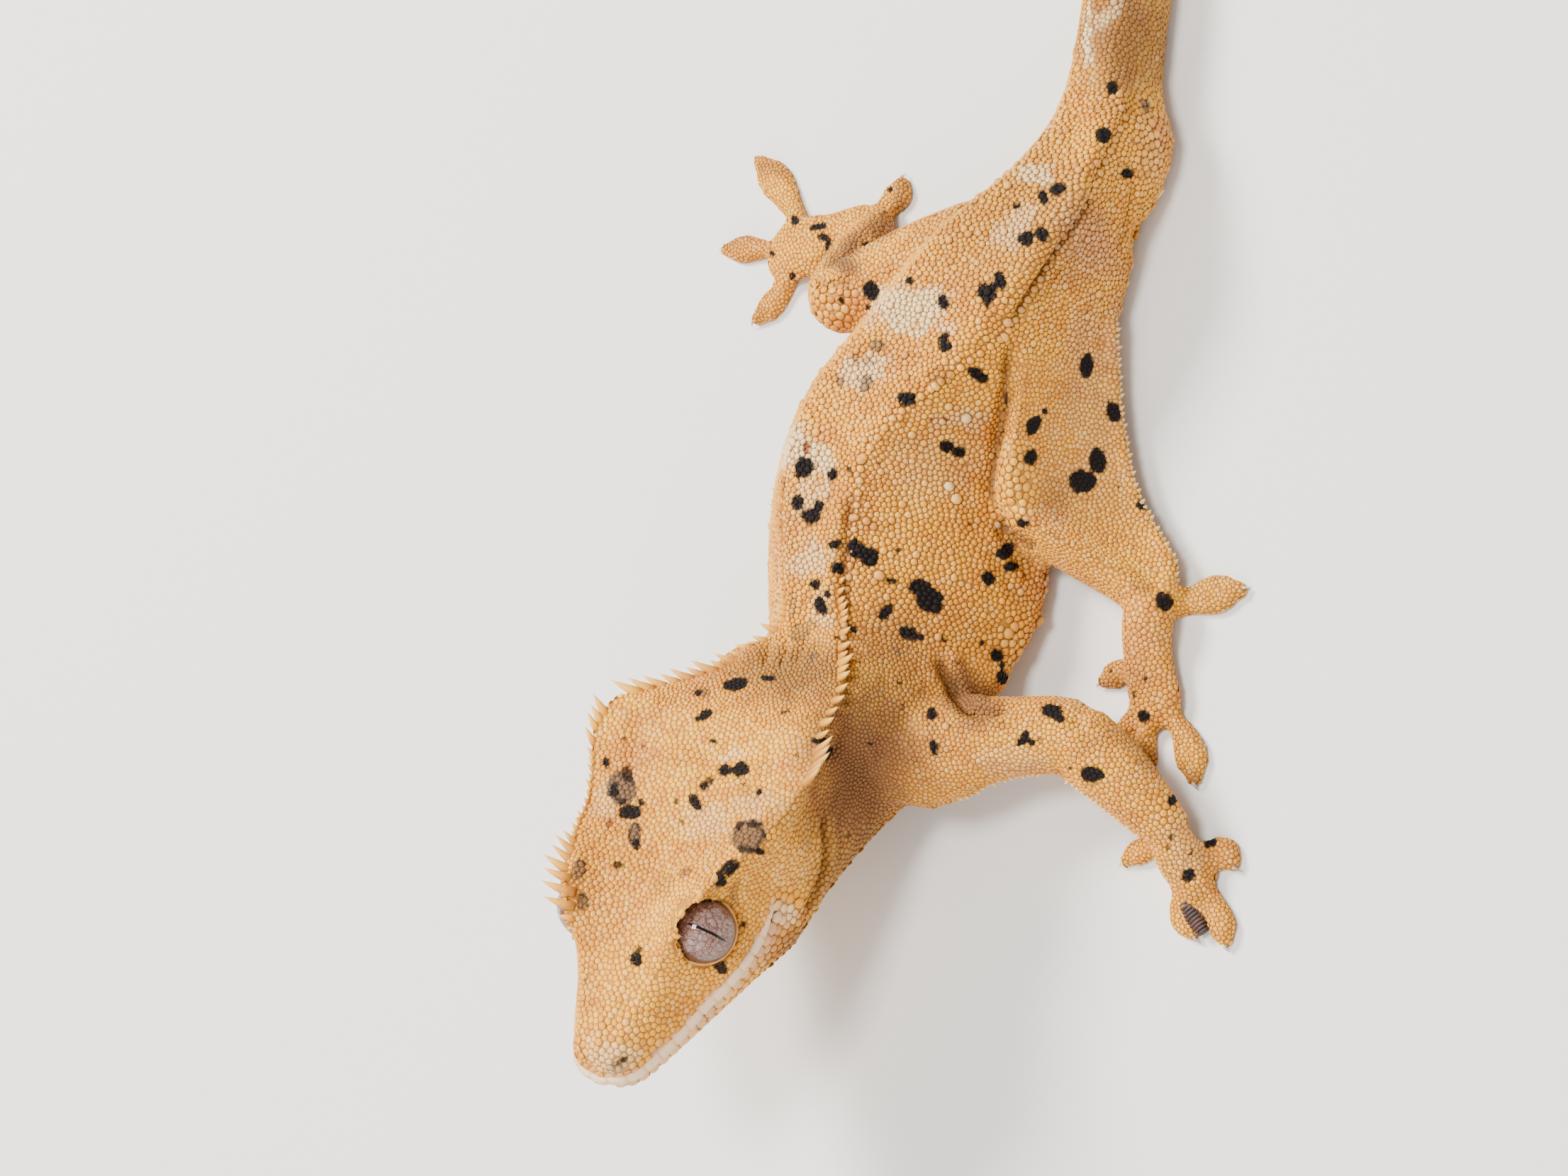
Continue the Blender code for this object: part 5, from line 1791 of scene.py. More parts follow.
    def _clear(self, bed: SeedBed) -> Array:
        """Which roots stand clear of the eyes, nostrils, ears, mouth and the soles.

        Args:
            bed: The roots.

        Returns:
            Whether each stays.
        """
        head = self.flesh.head.coordinates(bed.places - self.flesh.shift)
        out = np.abs(head[:, 1])
        mirrored = np.stack((head[:, 0], out, head[:, 2]), axis=1)
        keep = np.ones(len(head), bool)
        for centre in self.flesh.eyes.values():
            keep &= np.linalg.norm(bed.places - centre, axis=1) > self.flesh.eye_radius + self.eye_gap
        keep &= np.linalg.norm(mirrored - np.array(NOSTRIL_PLACE), axis=1) > self.nostril_size
        ear = (mirrored - np.array(EAR_PLACE)) / np.array(self.ear_size)
        keep &= np.linalg.norm(ear, axis=1) > 1.0
        gape = above_mouth(head)
        low, high = self.mouth_band
        by_mouth = (head[:, 0] > MOUTH_CORNER + 0.1) & (head[:, 0] < MOUTH_LINE[-1, 0])
        keep &= ~((gape < high) & (gape > low) & by_mouth)
        keep &= bed.places[:, 2] > self.floor_gap
        return keep | bed.fixed

    def settle(self) -> None:
        """Spread the roots evenly over the skin, each at its own spacing."""
        loose = self._scattered()
        bed = self.bed.joined(loose)
        bed = bed.kept(self._clear(bed))
        grain = self._grain(bed.places)
        for step in range(self.steps):
            if step % 3 == 0:
                near, _gaps = self._neighbours(bed.places, 9)
            away = bed.places[:, None, :] - bed.places[near]
            away -= (away * grain[:, None, :]).sum(axis=2, keepdims=True) * grain[:, None, :]
            gaps = np.maximum(np.linalg.norm(away, axis=2), 1e-6)
            wanted = 0.5 * (bed.sizes[:, None] + bed.sizes[near]) * self.spread_room
            push = np.clip(wanted - gaps, 0.0, None) / gaps
            shove = self.spread_share * (away * push[:, :, None]).sum(axis=1)
            moved = bed.places + shove * ~bed.fixed[:, None]
            for number in np.flatnonzero(~bed.fixed):
                bed.places[number] = self.tree.find_nearest(moved[number])[0]
        self.bed = bed.kept(self._clear(bed) & self._uncrowded(bed))

    def _grain(self, places: Array) -> Array:
        """The way in which the scales are drawn out at each root.

        Args:
            places: The roots.

        Returns:
            Vectors whose length says how much of a gap along them isn't felt.
        """
        _toward, up, right = self.flesh.lens.axes()
        aspect = by_start(ASPECT, self.flesh.names)[self.skin.regions_at(places, self.tree)]
        lean = unit(right - self.grain_slant * up)
        return lean * np.sqrt(1.0 - 1.0 / aspect)[:, None]

    def _uncrowded(self, bed: SeedBed) -> Array:
        """Which roots still have room, once the rest have spread.

        Args:
            bed: The roots.

        Returns:
            Whether each stays.
        """
        near, gaps = self._neighbours(bed.places, 3)
        tight = gaps[:, 0] < 0.5 * np.minimum(bed.sizes, bed.sizes[near[:, 0]])
        later = np.arange(len(tight)) > near[:, 0]
        return ~(tight & (later | bed.fixed[near[:, 0]])) | bed.fixed

    def _neighbours(self, places: Array, count: int) -> tuple[Array, Array]:
        """The nearest other roots of each root, and how far off they are.

        Args:
            places: The roots.
            count: How many others for each.

        Returns:
            Their numbers and distances, nearest first.
        """
        tree = KDTree(len(places))
        for number, place in enumerate(places):
            tree.insert(place, number)
        tree.balance()
        near = np.empty((len(places), count), int)
        gaps = np.empty((len(places), count))
        for number, place in enumerate(places):
            found = tree.find_n(place, count + 1)[1:]
            near[number] = [row[1] for row in found]
            gaps[number] = [row[2] for row in found]
        return near, gaps

    def shapes(self) -> tuple[Array, Array, Array, Array]:
        """How each scale stands on the skin.

        Returns:
            Its normal, two surface directions, and its outline, drawn where it meets its neighbours.
        """
        bed = self.bed
        found = [self.tree.find_nearest(place) for place in bed.places]
        faces = np.array([row[2] for row in found])
        corners = self.skin.triangles[faces]
        weights = 1.0 / (np.linalg.norm(self.skin.points[corners] - bed.places[:, None, :], axis=2) + 0.02)
        normal = unit((self.normals[corners] * weights[:, :, None]).sum(axis=1))
        self.regions = self.skin.region[corners[:, 0]]
        near, _gaps = self._neighbours(bed.places, 10)
        away = bed.places[near] - bed.places[:, None, :]
        away -= (away * normal[:, None, :]).sum(axis=2, keepdims=True) * normal[:, None, :]
        reach = np.maximum(np.linalg.norm(away, axis=2), 1e-6)
        side = unit(away[:, 0])
        rise = np.cross(normal, side)
        turns = np.arctan2((away * rise[:, None, :]).sum(axis=2), (away * side[:, None, :]).sum(axis=2))
        share = bed.sizes[:, None] / (bed.sizes[:, None] + bed.sizes[near])
        half = reach * share
        spokes = np.arange(self.sides) * (2 * math.pi / self.sides) + math.pi / self.sides
        lean = np.cos(spokes[None, :, None] - turns[:, None, :])
        limit = np.where(lean > 0.2, half[:, None, :] / np.maximum(lean, 0.2), np.inf).min(axis=2)
        longest = self.widest * bed.sizes * self._by_region(ASPECT, np.arange(len(bed.sizes)))
        outline = np.clip(limit, self.narrowest * bed.sizes[:, None], longest[:, None])
        return normal, side, rise, outline

    def domes(self) -> list[Piece]:
        """Every scale as a low closed dome, in pieces small enough to keep.

        Returns:
            The pieces.
        """
        frame = self.shapes()
        bed = self.bed
        tones = self.pigment.tones(bed.places, frame[0])
        tones[Tone.LIP] = np.maximum(tones[Tone.LIP] * (bed.sizes > 0.8), bed.lip)
        tones[Tone.GOLD] = np.maximum(tones[Tone.GOLD], bed.gold)
        tones[Tone.PALE] = np.maximum(tones[Tone.PALE], bed.pale)
        return [self._piece(name, rows, frame, tones) for name, rows in self._groups()]

    def _groups(self) -> list[tuple[str, Array]]:
        """Root numbers for each piece.

        Returns:
            Names of pieces with their root numbers.
        """
        groups = []
        names = np.array(self.flesh.names)
        for label, starts in GROUPS:
            member = np.array([name.startswith(starts) for name in names])[self.regions]
            rows = np.flatnonzero(member & ~self.bed.bare)
            rows = rows[np.argsort(self.bed.places[rows, 1], kind="stable")]
            parts = max(1, math.ceil(len(rows) / self.piece_limit))
            for number, part in enumerate(np.array_split(rows, parts), 1):
                groups.append((f"scales_{label}" + (f"_{number}" if parts > 1 else ""), part))
        return groups

    def _by_region(self, table: Sequence[tuple[str, float]], rows: Array) -> Array:
        """A number for each of some roots, from a table by the start of the solid's name."""
        return by_start(table, self.flesh.names)[self.regions[rows]]

    def _piece(self, name: str, rows: Array, frame: tuple[Array, ...],
               tones: dict[Tone, Array]) -> Piece:
        """One piece of the coat.

        Args:
            name: The piece's name.
            rows: Its roots, by number.
            frame: Normal, two surface directions and outline of every scale.
            tones: The tones at every root.

        Returns:
            The piece.
        """
        bed, sides = self.bed, self.sides
        up, side, rise, reach = (part[rows] for part in frame)
        spokes = np.arange(sides) * (2 * math.pi / sides) + math.pi / sides
        flat = side[:, None] * np.cos(spokes)[None, :, None] + rise[:, None] * np.sin(spokes)[None, :, None]
        fixed = bed.fixed[rows]
        relief = np.where(fixed, 1.0, self._by_region(RELIEF, rows))
        broad = np.where(fixed, 0.66, self._by_region(BREADTH, rows))
        height = self.height * bed.sizes[rows] * bed.heights[rows] * relief
        height *= 1.0 - 0.3 * np.clip(tones[Tone.DARK][rows], 0, 1)
        root, mean = bed.places[rows], reach.mean(axis=1, keepdims=True)
        tailward = np.array((0.0, 1.0, 0.0)) - up * up[:, 1:2]
        tailward = tailward * (self.lean * bed.sizes[rows] * ~fixed)[:, None]
        levels, local = [], []
        sunk = np.full(len(rows), self.sunk)
        for spread, lift, shift in ((self.edge, sunk, 0.0), (self.shoulder, broad, 0.5)):
            shape = (reach if shift == 0.0 else 0.6 * reach + 0.4 * mean) * spread
            middle = root + up * (height * lift)[:, None] + tailward * shift
            levels.append(middle[:, None] + flat * shape[:, :, None])
            local.append(np.stack((shape * np.cos(spokes), shape * np.sin(spokes)), axis=2))
        levels.append((root + up * height[:, None] + tailward)[:, None])
        local.append(np.zeros((len(rows), 1, 2)))
        points = np.concatenate(levels, axis=1).reshape(-1, 3)
        per = 2 * sides + 1
        quads = [(i, (i + 1) % sides, sides + (i + 1) % sides, sides + i) for i in range(sides)]
        caps = [(sides + i, sides + (i + 1) % sides, 2 * sides) for i in range(sides)]
        base = [tuple(range(sides - 1, -1, -1))]
        mesh = repeated_mesh(name, points, [quads, caps, base], len(rows), per)
        shown = {tone: np.repeat(values[rows], per) for tone, values in tones.items()}
        toward = self.flesh.lens.toward()
        for tone, cover in self.pigment.marks(points, np.repeat(up @ toward, per)).items():
            shown[tone] = smoothstep(0.15, 0.6, 0.28 * shown[tone] + 0.72 * cover) * np.clip(
                np.maximum(shown[tone], cover) * 1.15, 0.0, 1.0)
        self.pigment.store(mesh, shown)
        give(mesh, "tint", np.repeat(self.rng.random(len(rows)), per))
        # Painted shade in the groove round each scale's foot, fading up the dome
        depth = np.repeat(self._by_region(GROOVE_SHADE, rows), per)
        give(mesh, "rise", 1.0 - depth * np.tile(np.array([1.0] * sides + [0.3] * sides + [0.0]), len(rows)))
        size = np.maximum(mean, 1e-6)[:, :, None]
        patch = (np.concatenate(local, axis=1) / size * self.patch).reshape(-1, 2)
        bake_map(mesh, np.repeat(unwrapped(root, self.regions[rows]), per, axis=0) + patch)
        return add_piece(name, mesh, self.finish)

    def build(self) -> list[Piece]:
        """Spread, shape and dress every scale.

        Returns:
            The pieces.
        """
        self.finish = HideFinish().build("scaled_skin", on_scales=True)
        self.settle()
        return self.domes()


def repeated_mesh(name: str, points: Array, kinds: Sequence[Sequence[tuple[int, ...]]], copies: int,
                  per: int) -> Mesh:
    """One mesh of many small forms that share their faces.

    Args:
        name: The mesh's name.
        points: All points in millimetres, form by form.
        kinds: The faces of one form, in groups with the same number of corners.
        copies: How many forms there are.
        per: Points in each.

    Returns:
        The mesh, smooth shaded.
    """
    starts = np.arange(copies)[:, None, None] * per
    blocks = [(starts + np.array(faces)[None]).reshape(-1, len(faces[0])) for faces in kinds]
    corners = np.concatenate([block.ravel() for block in blocks])
    sizes = np.concatenate([np.full(len(block), block.shape[1]) for block in blocks])
    mesh = mesh_from(name, points, corners, sizes)
    mesh.shade_smooth()
    return mesh


def unwrapped(places: Array, regions: Array) -> Array:
    """Places of the skin laid flat: each solid's own sleeve is cut along its length and given one column.

    Args:
        places: Places in millimetres.
        regions: Which solid each is on.

    Returns:
        A flat place for each, inside the unit square.
    """
    flat = np.zeros((len(places), 2))
    present = np.unique(regions)
    for column, region in enumerate(present):
        rows = np.flatnonzero(regions == region)
        middle = places[rows].mean(axis=0)
        away = places[rows] - middle
        _size, _turn, axes = np.linalg.svd(away, full_matrices=False) if len(rows) > 3 else (0, 0, np.eye(3))
        along = away @ axes[0]
        turn = np.arctan2(away @ axes[2], away @ axes[1]) / (2 * math.pi) + 0.5
        share = (along - along.min()) / max(float(np.ptp(along)), 1e-6)
        flat[rows, 0] = (column + 0.03 + 0.94 * turn) / len(present)
        flat[rows, 1] = 0.02 + 0.96 * share
    return flat


def bake_map(mesh: Mesh, flat: Array) -> None:
    """Give a mesh its bake map from one flat place for each point.

    Args:
        mesh: The mesh.
        flat: Flat places by point.
    """
    layer = mesh.uv_layers.new(name=UV_NAME)
    corners = np.zeros(len(mesh.loops), np.int32)
    mesh.loops.foreach_get("vertex_index", corners)
    layer.data.foreach_set("uv", flat[corners].astype(np.float32).ravel())


@dataclass
class Spikes:
    """Tapered, slightly curved spines and fringe scales, joined in one mesh."""

    pigment: PigmentAndShade
    sides: int = 7
    profile: tuple[Row, ...] = ((-0.35, 1.0), (0.12, 0.98), (0.42, 0.70), (0.74, 0.36))
    flatness: float = 0.72
    patch: float = 0.0014

    def build(self, name: str, roots: Array, aims: Array, lengths: Array, widths: Array, bends: Array,
              along: Array, finish: Material, regions: Array, pale: float = 0.0) -> Piece:
        """One piece of spines.

        Args:
            name: The piece's name.
            roots: Where each leaves the skin, in millimetres.
            aims: Unit vectors outwards.
            lengths: Lengths above the skin.
            widths: Half widths at the root.
            bends: How far each tip leans over, as vectors.
            along: The row's direction at each root, across which the spine is flattened.
            finish: Its material.
            regions: Which solid each root is on.
            pale: How pale they are.

        Returns:
            The piece.
        """
        count, sides = len(roots), self.sides
        flat_way = unit(np.cross(aims, along))
        row_way = np.cross(flat_way, aims)
        spokes = np.arange(sides) * 2 * math.pi / sides
        ring = flat_way[:, None] * np.cos(spokes)[None, :, None] * self.flatness
        ring = ring + row_way[:, None] * np.sin(spokes)[None, :, None]
        levels = []
        for share, width in self.profile:
            middle = roots + aims * (lengths * share)[:, None] + bends * max(share, 0.0) ** 2
            levels.append(middle[:, None] + ring * (widths * width)[:, None, None])
        levels.append((roots + aims * lengths[:, None] + bends)[:, None])
        points = np.concatenate(levels, axis=1).reshape(-1, 3)
        rings = len(self.profile)
        per = rings * sides + 1
        pairs = [(i, (i + 1) % sides) for i in range(sides)]
        starts = [ring * sides for ring in range(rings)]
        quads = [
            (low + i, low + j, high + j, high + i) for low, high in zip(starts, starts[1:]) for i, j in pairs]
        caps = [(starts[-1] + i, starts[-1] + j, per - 1) for i, j in pairs]
        mesh = repeated_mesh(name, points, [quads, caps, [tuple(range(sides - 1, -1, -1))]], count, per)
        fade = np.array([share for share, _width in self.profile for _ in range(sides)] + [1.0])
        tones = self.pigment.tones(roots, aims)
        tones[Tone.BROWN] = tones[Tone.BROWN] * 0.35
        tones[Tone.DARK] = tones[Tone.DARK] * 0.0
        tones[Tone.PALE] = np.maximum(tones[Tone.PALE], pale)
        self.pigment.store(mesh, {tone: np.repeat(values, per) for tone, values in tones.items()})
        give(mesh, "tint", np.repeat(0.45 + 0.2 * lattice_noise(roots, 0.8, 31), per))
        # Painted shade towards each spine's root, where it meets the skin
        give(mesh, "rise", np.tile(np.clip(0.55 + 0.5 * fade, 0.0, 1.0), count))
        give(mesh, "tip", np.tile(np.clip(fade, 0.0, 1.0), count))
        rim = np.stack((np.cos(spokes), np.sin(spokes)), axis=1)
        patch = np.concatenate([rim] * rings + [np.zeros((1, 2))])
        patch *= self.patch * np.array([1.0 - 0.2 * (i // sides) for i in range(per - 1)] + [0.0])[:, None]
        bake_map(mesh, np.repeat(unwrapped(roots, regions), per, axis=0) + np.tile(patch, (count, 1)))
        return add_piece(name, mesh, finish)


@dataclass
class Crest:
    """The spines of the head's rims, the nape and the back, at the solids' own and between them."""

    skin: Skin
    pigment: PigmentAndShade
    between: float = 2.5
    clear_gap: float = 1.3
    longest: float = 1.7
    share_between: float = 0.78
    # Places along the head where the rims' and the brow's spines begin, and where the back's do
    rim_from: float = 2.6
    rim_dense_to: float = 4.6
    brow_from: float = 13.0
    back_from: float = -2.0
    near_rim: float = 1.18
    far_rim: float = 0.75
    brow_length: float = 0.42
    # View rows between which the back's spines grow to their full length
    back_rows: tuple[float, float] = (800.0, 920.0)
    seed: int = 41
    roots: Array = field(init=False)

    def rows(self) -> tuple[Array, Array, Array]:
        """Roots, tips and row directions of all the spines.

        Returns:
            One row of each for every spine.
        """
        thorns = self.skin.flesh.thorns
        roots = np.array([thorn.root for thorn in thorns])
        tips = np.array([thorn.tip for thorn in thorns])
        extra_roots, extra_tips, extra_along, pairs = [], [], [], []
        for i in range(len(roots)):
            for j in range(i + 1, len(roots)):
                gap = np.linalg.norm(roots[i] - roots[j])
                if gap > self.between:
                    continue
                others = np.delete(np.arange(len(roots)), (i, j))
                nearer = np.maximum(np.linalg.norm(roots[others] - roots[i], axis=1),
                                    np.linalg.norm(roots[others] - roots[j], axis=1))
                if nearer.min(initial=9.0) < gap:
                    continue
                pairs.append((i, j))
                if gap > self.clear_gap:
                    middle = (roots[i] + roots[j]) / 2
                    reach = ((tips[i] - roots[i]) + (tips[j] - roots[j])) / 2 * self.share_between
                    extra_roots.append(middle)
                    extra_tips.append(middle + reach)
                    extra_along.append(unit(roots[j] - roots[i]))
        along = np.zeros_like(roots)
        for i, j in pairs:
            leg = unit(roots[j] - roots[i])
            for k in (i, j):
                along[k] += leg if along[k] @ leg >= 0 else -leg
        alone = np.linalg.norm(along, axis=1, keepdims=True) < 1e-6
        spare = np.where(alone, np.array((0.0, 1.0, 0.0)), along)
        return (np.concatenate((roots, np.array(extra_roots).reshape(-1, 3))),
                np.concatenate((tips, np.array(extra_tips).reshape(-1, 3))),
                np.concatenate((unit(spare), np.array(extra_along).reshape(-1, 3))))

    def build(self, finish: Material) -> Piece:
        """All the spines as one piece.

        Args:
            finish: Its material.

        Returns:
            The piece.
        """
        roots, tips, along = self.rows()
        tree = self.skin.tree()
        seats = np.array([tree.find_nearest(root)[0] for root in roots])
        regions = self.skin.regions_at(roots, tree)
        reach = tips - seats
        lengths = np.linalg.norm(reach, axis=1).clip(0.5, self.longest)
        rng = np.random.default_rng(self.seed)
        lengths *= 1.0 + 0.10 * rng.standard_normal(len(lengths))
        aims = unit(reach)
        bends = (np.array((0.0, 0.28, 0.12)) * lengths[:, None]) * (0.6 + 0.5 * rng.random((len(lengths), 1)))
        flesh = self.skin.flesh
        place = flesh.head.coordinates(seats - flesh.shift)
        left = place[:, 1] > 0.0
        over_eye = (place[:, 0] > self.brow_from) & left
        on_rim = (place[:, 0] > self.rim_from) & (place[:, 0] < self.brow_from)
        down = flesh.view(seats)[:, 1]
        on_back = (place[:, 0] < self.back_from) & left
        grown = 0.35 + 0.65 * smoothstep(*self.back_rows, down)
        lengths *= np.where(on_rim & ~left, self.far_rim, self.near_rim) * np.where(on_back, grown, 1.0)
        lengths = np.where(over_eye, self.brow_length * lengths, lengths)
        aims = np.where(over_eye[:, None], unit(aims + 1.2 * flesh.head.axes()[2]), aims)
        widths = 0.17 + 0.12 * lengths + 0.10 * over_eye
        second = np.arange(len(seats)) % 2 == 1
        kept = ~(on_rim & left & (place[:, 0] > self.rim_dense_to)) & ~(over_eye & second)
        seats, aims, lengths, widths = seats[kept], aims[kept], lengths[kept], widths[kept]
        bends, along, regions = bends[kept], along[kept], regions[kept]
        self.roots = seats
        return Spikes(self.pigment).build(
            "crest_spines", seats, aims, lengths * 0.97, widths, bends * 0.5, along, finish, regions)


@dataclass
class Eyes:
    """Both globes with iris and slit pupil."""

    flesh: Flesh
    slit_ends: tuple[tuple[float, float], tuple[float, float]] = ((969.0, 1302.0), (1025.0, 1329.0))
    slit_bow: float = 0.10
    iris_angle: float = math.radians(64.0)
    bulge_angle: float = 0.75
    bulge: float = 0.10
    segments: int = 64
    rings: int = 48

    def on_globe(self, across: float, down: float) -> Array:
        """The left globe's point at one view pixel.

        Args:
            across: Pixels from the left.
            down: Pixels from the top.

        Returns:
            The point, from the globe's middle.
        """
        start, aim = self.flesh.lens.ray(across, down)
        start = start + self.flesh.shift - self.flesh.eyes["eye_left"]
        reach = start @ aim
        inside = reach ** 2 - (start @ start - self.flesh.eye_radius ** 2)
        return start + aim * (-reach - math.sqrt(max(inside, 0.0)))

    def build(self, name: str, finish: Material) -> Piece:
        """One globe.

        Args:
            name: The solid that it stands for.
            finish: Its material.

        Returns:
            The piece.
        """
        centre = self.flesh.eyes[name]
        ends = [self.on_globe(*end) for end in self.slit_ends]
        if name == "eye_right":
            axes = np.stack(self.flesh.head.axes())
            ends = [(axes @ end * np.array((1.0, -1.0, 1.0))) @ axes for end in ends]
        gaze = self.flesh.gaze(centre)
        bm = bmesh.new()
        bmesh.ops.create_uvsphere(
            bm, u_segments=self.segments, v_segments=self.rings, radius=self.flesh.eye_radius)
        turn = Vector((0.0, 0.0, 1.0)).rotation_difference(Vector(gaze)).to_matrix()
        bmesh.ops.rotate(bm, verts=bm.verts, cent=(0.0, 0.0, 0.0), matrix=turn)
        place = np.array([v.co[:] for v in bm.verts])
        off = np.arccos(np.clip(unit(place) @ gaze, -1.0, 1.0))
        for vert, angle in zip(bm.verts, off):
            lift = self.bulge * math.exp(-((angle / self.bulge_angle) ** 2))
            vert.co *= 1.0 + lift / self.flesh.eye_radius
        along = unit(ends[1] - ends[0])
        middle = (ends[0] + ends[1]) / 2
        across = unit(np.cross(along, middle))
        mesh = bpy.data.meshes.new(name)
        bmesh.ops.scale(bm, vec=(MM,) * 3, verts=bm.verts)
        bmesh.ops.translate(bm, vec=Vector(centre * MM), verts=bm.verts)
        bm.to_mesh(mesh)
        bm.free()
        mesh.shade_smooth()
        half = np.linalg.norm(ends[1] - ends[0]) / 2
        run = (place - middle) @ along / half
        give(mesh, "slit_run", run)
        give(mesh, "slit_off", (place - middle) @ across + self.slit_bow * (1 - run ** 2))
        give(mesh, "off_gaze", off / self.iris_angle)
        return add_piece(f"{name}_globe", mesh, finish)


@dataclass
class Lids:
    """The smooth edge of the lids, a full ring round each eye."""

    flesh: Flesh
    reach: float = 0.965
    thickness: float = 0.12
    steps: int = 56
    sides: int = 8

    def build(self, finish: Material) -> Piece:
        """Both rings as one piece.

        Args:
            finish: Its material.

        Returns:
            The piece.
        """
        whole = bmesh.new()
        radius = self.flesh.eye_radius * self.reach
        ahead = math.sqrt(self.flesh.eye_radius ** 2 - radius ** 2)
        for centre in self.flesh.eyes.values():
            ring = bmesh.ops.create_circle(whole, segments=self.sides, radius=self.thickness)["verts"]
            bmesh.ops.rotate(whole, verts=ring, cent=(0, 0, 0), matrix=Matrix.Rotation(math.pi / 2, 3, "X"))
            bmesh.ops.translate(whole, verts=ring, vec=(radius, 0.0, ahead))
            turn = Vector((0.0, 0.0, 1.0)).rotation_difference(Vector(self.flesh.gaze(centre))).to_matrix()
            bmesh.ops.rotate(whole, verts=ring, cent=(0, 0, 0), matrix=turn)
            bmesh.ops.translate(whole, verts=ring, vec=Vector(centre))
            edges = list({edge for vert in ring for edge in vert.link_edges})
            bmesh.ops.spin(
                whole, geom=ring + edges, cent=Vector(centre), axis=Vector(self.flesh.gaze(centre)),
                angle=2 * math.pi, steps=self.steps, use_merge=True)
        return add_piece("lids", finished(whole, "lids"), finish)


@dataclass
class LipRidge:
    """The smooth ridge of the upper lip, with a faint seam between its plates."""

    skin: Skin
    rise: float = 0.50
    half_width: float = 0.42
    height: float = 0.34
    plate: float = 1.5
    seam_width: float = 0.11
    step: float = 0.15
    sides: int = 10

    def build(self, finish: Material) -> Piece:
        """The ridge as one piece, from one corner of the mouth to the other.

        Args:
            finish: Its material.

        Returns:
            The piece.
        """
        tree = self.skin.tree()
        line = self.skin.mouth_row(self.rise, self.step, tree)
        found = [tree.find_nearest(place) for place in line]
        corners = self.skin.triangles[[row[2] for row in found]]
        normal = unit(self.skin.normals()[corners].mean(axis=1))
        along = unit(np.gradient(line, axis=0))
        side = unit(np.cross(normal, along))
        travelled = np.arange(len(line)) * self.step
        seam = np.exp(-(((travelled % self.plate) - self.plate / 2) / self.seam_width) ** 2)
        ends = np.minimum(travelled, travelled[::-1])
        taper = smoothstep(-0.2, 3.0, ends) * (1.0 - 0.10 * seam)
        turns = np.arange(self.sides) * 2 * math.pi / self.sides
        bm = bmesh.new()
        bridged(bm, [
            place + taper[i] * (side[i] * self.half_width * np.cos(turns)[:, None]
                                + normal[i] * self.height * (1.0 - 0.3 * seam[i]) * np.sin(turns)[:, None])
            for i, place in enumerate(line)])
        piece = add_piece("lip_ridge", finished(bm, "lip_ridge"), finish)
        shown = np.repeat(0.95 - 0.45 * seam, self.sides)
        for tone in Tone:
            give(piece.data, tone.value, shown if tone is Tone.LIP else np.zeros(len(shown)))
        for name, value in (("tint", 0.5), ("rise", 0.9)):
            give(piece.data, name, np.full(len(shown), value))
        return piece


# Fringes of pointed scales: spacing, length, half width, which way out, then a line just inside the outline
FRINGES: tuple[tuple[float, float, float, float, Pixels], ...] = (
    (0.50, 0.50, 0.20, -1.0, ((1576, 440), (1574, 500), (1578, 560), (1586, 612), (1594, 660), (1606, 705),
                              (1622, 745), (1640, 792), (1650, 828))),
    (0.50, 0.45, 0.20, 1.0, ((1350, 1112), (1400, 1096), (1450, 1088), (1500, 1096), (1550, 1118),
                             (1590, 1150), (1612, 1172))),
    (0.58, 0.36, 0.22, 1.0, ((1180, 486), (1150, 530), (1128, 590), (1114, 650), (1106, 710), (1106, 760),
                             (1106, 800), (1112, 840))),
    (0.60, 0.30, 0.20, 1.0, ((1546, 130), (1530, 190), (1490, 240), (1420, 290), (1350, 320))))
SPUR: tuple[tuple[float, float], tuple[float, float]] = ((1598.0, 303.0), (1622.0, 284.0))


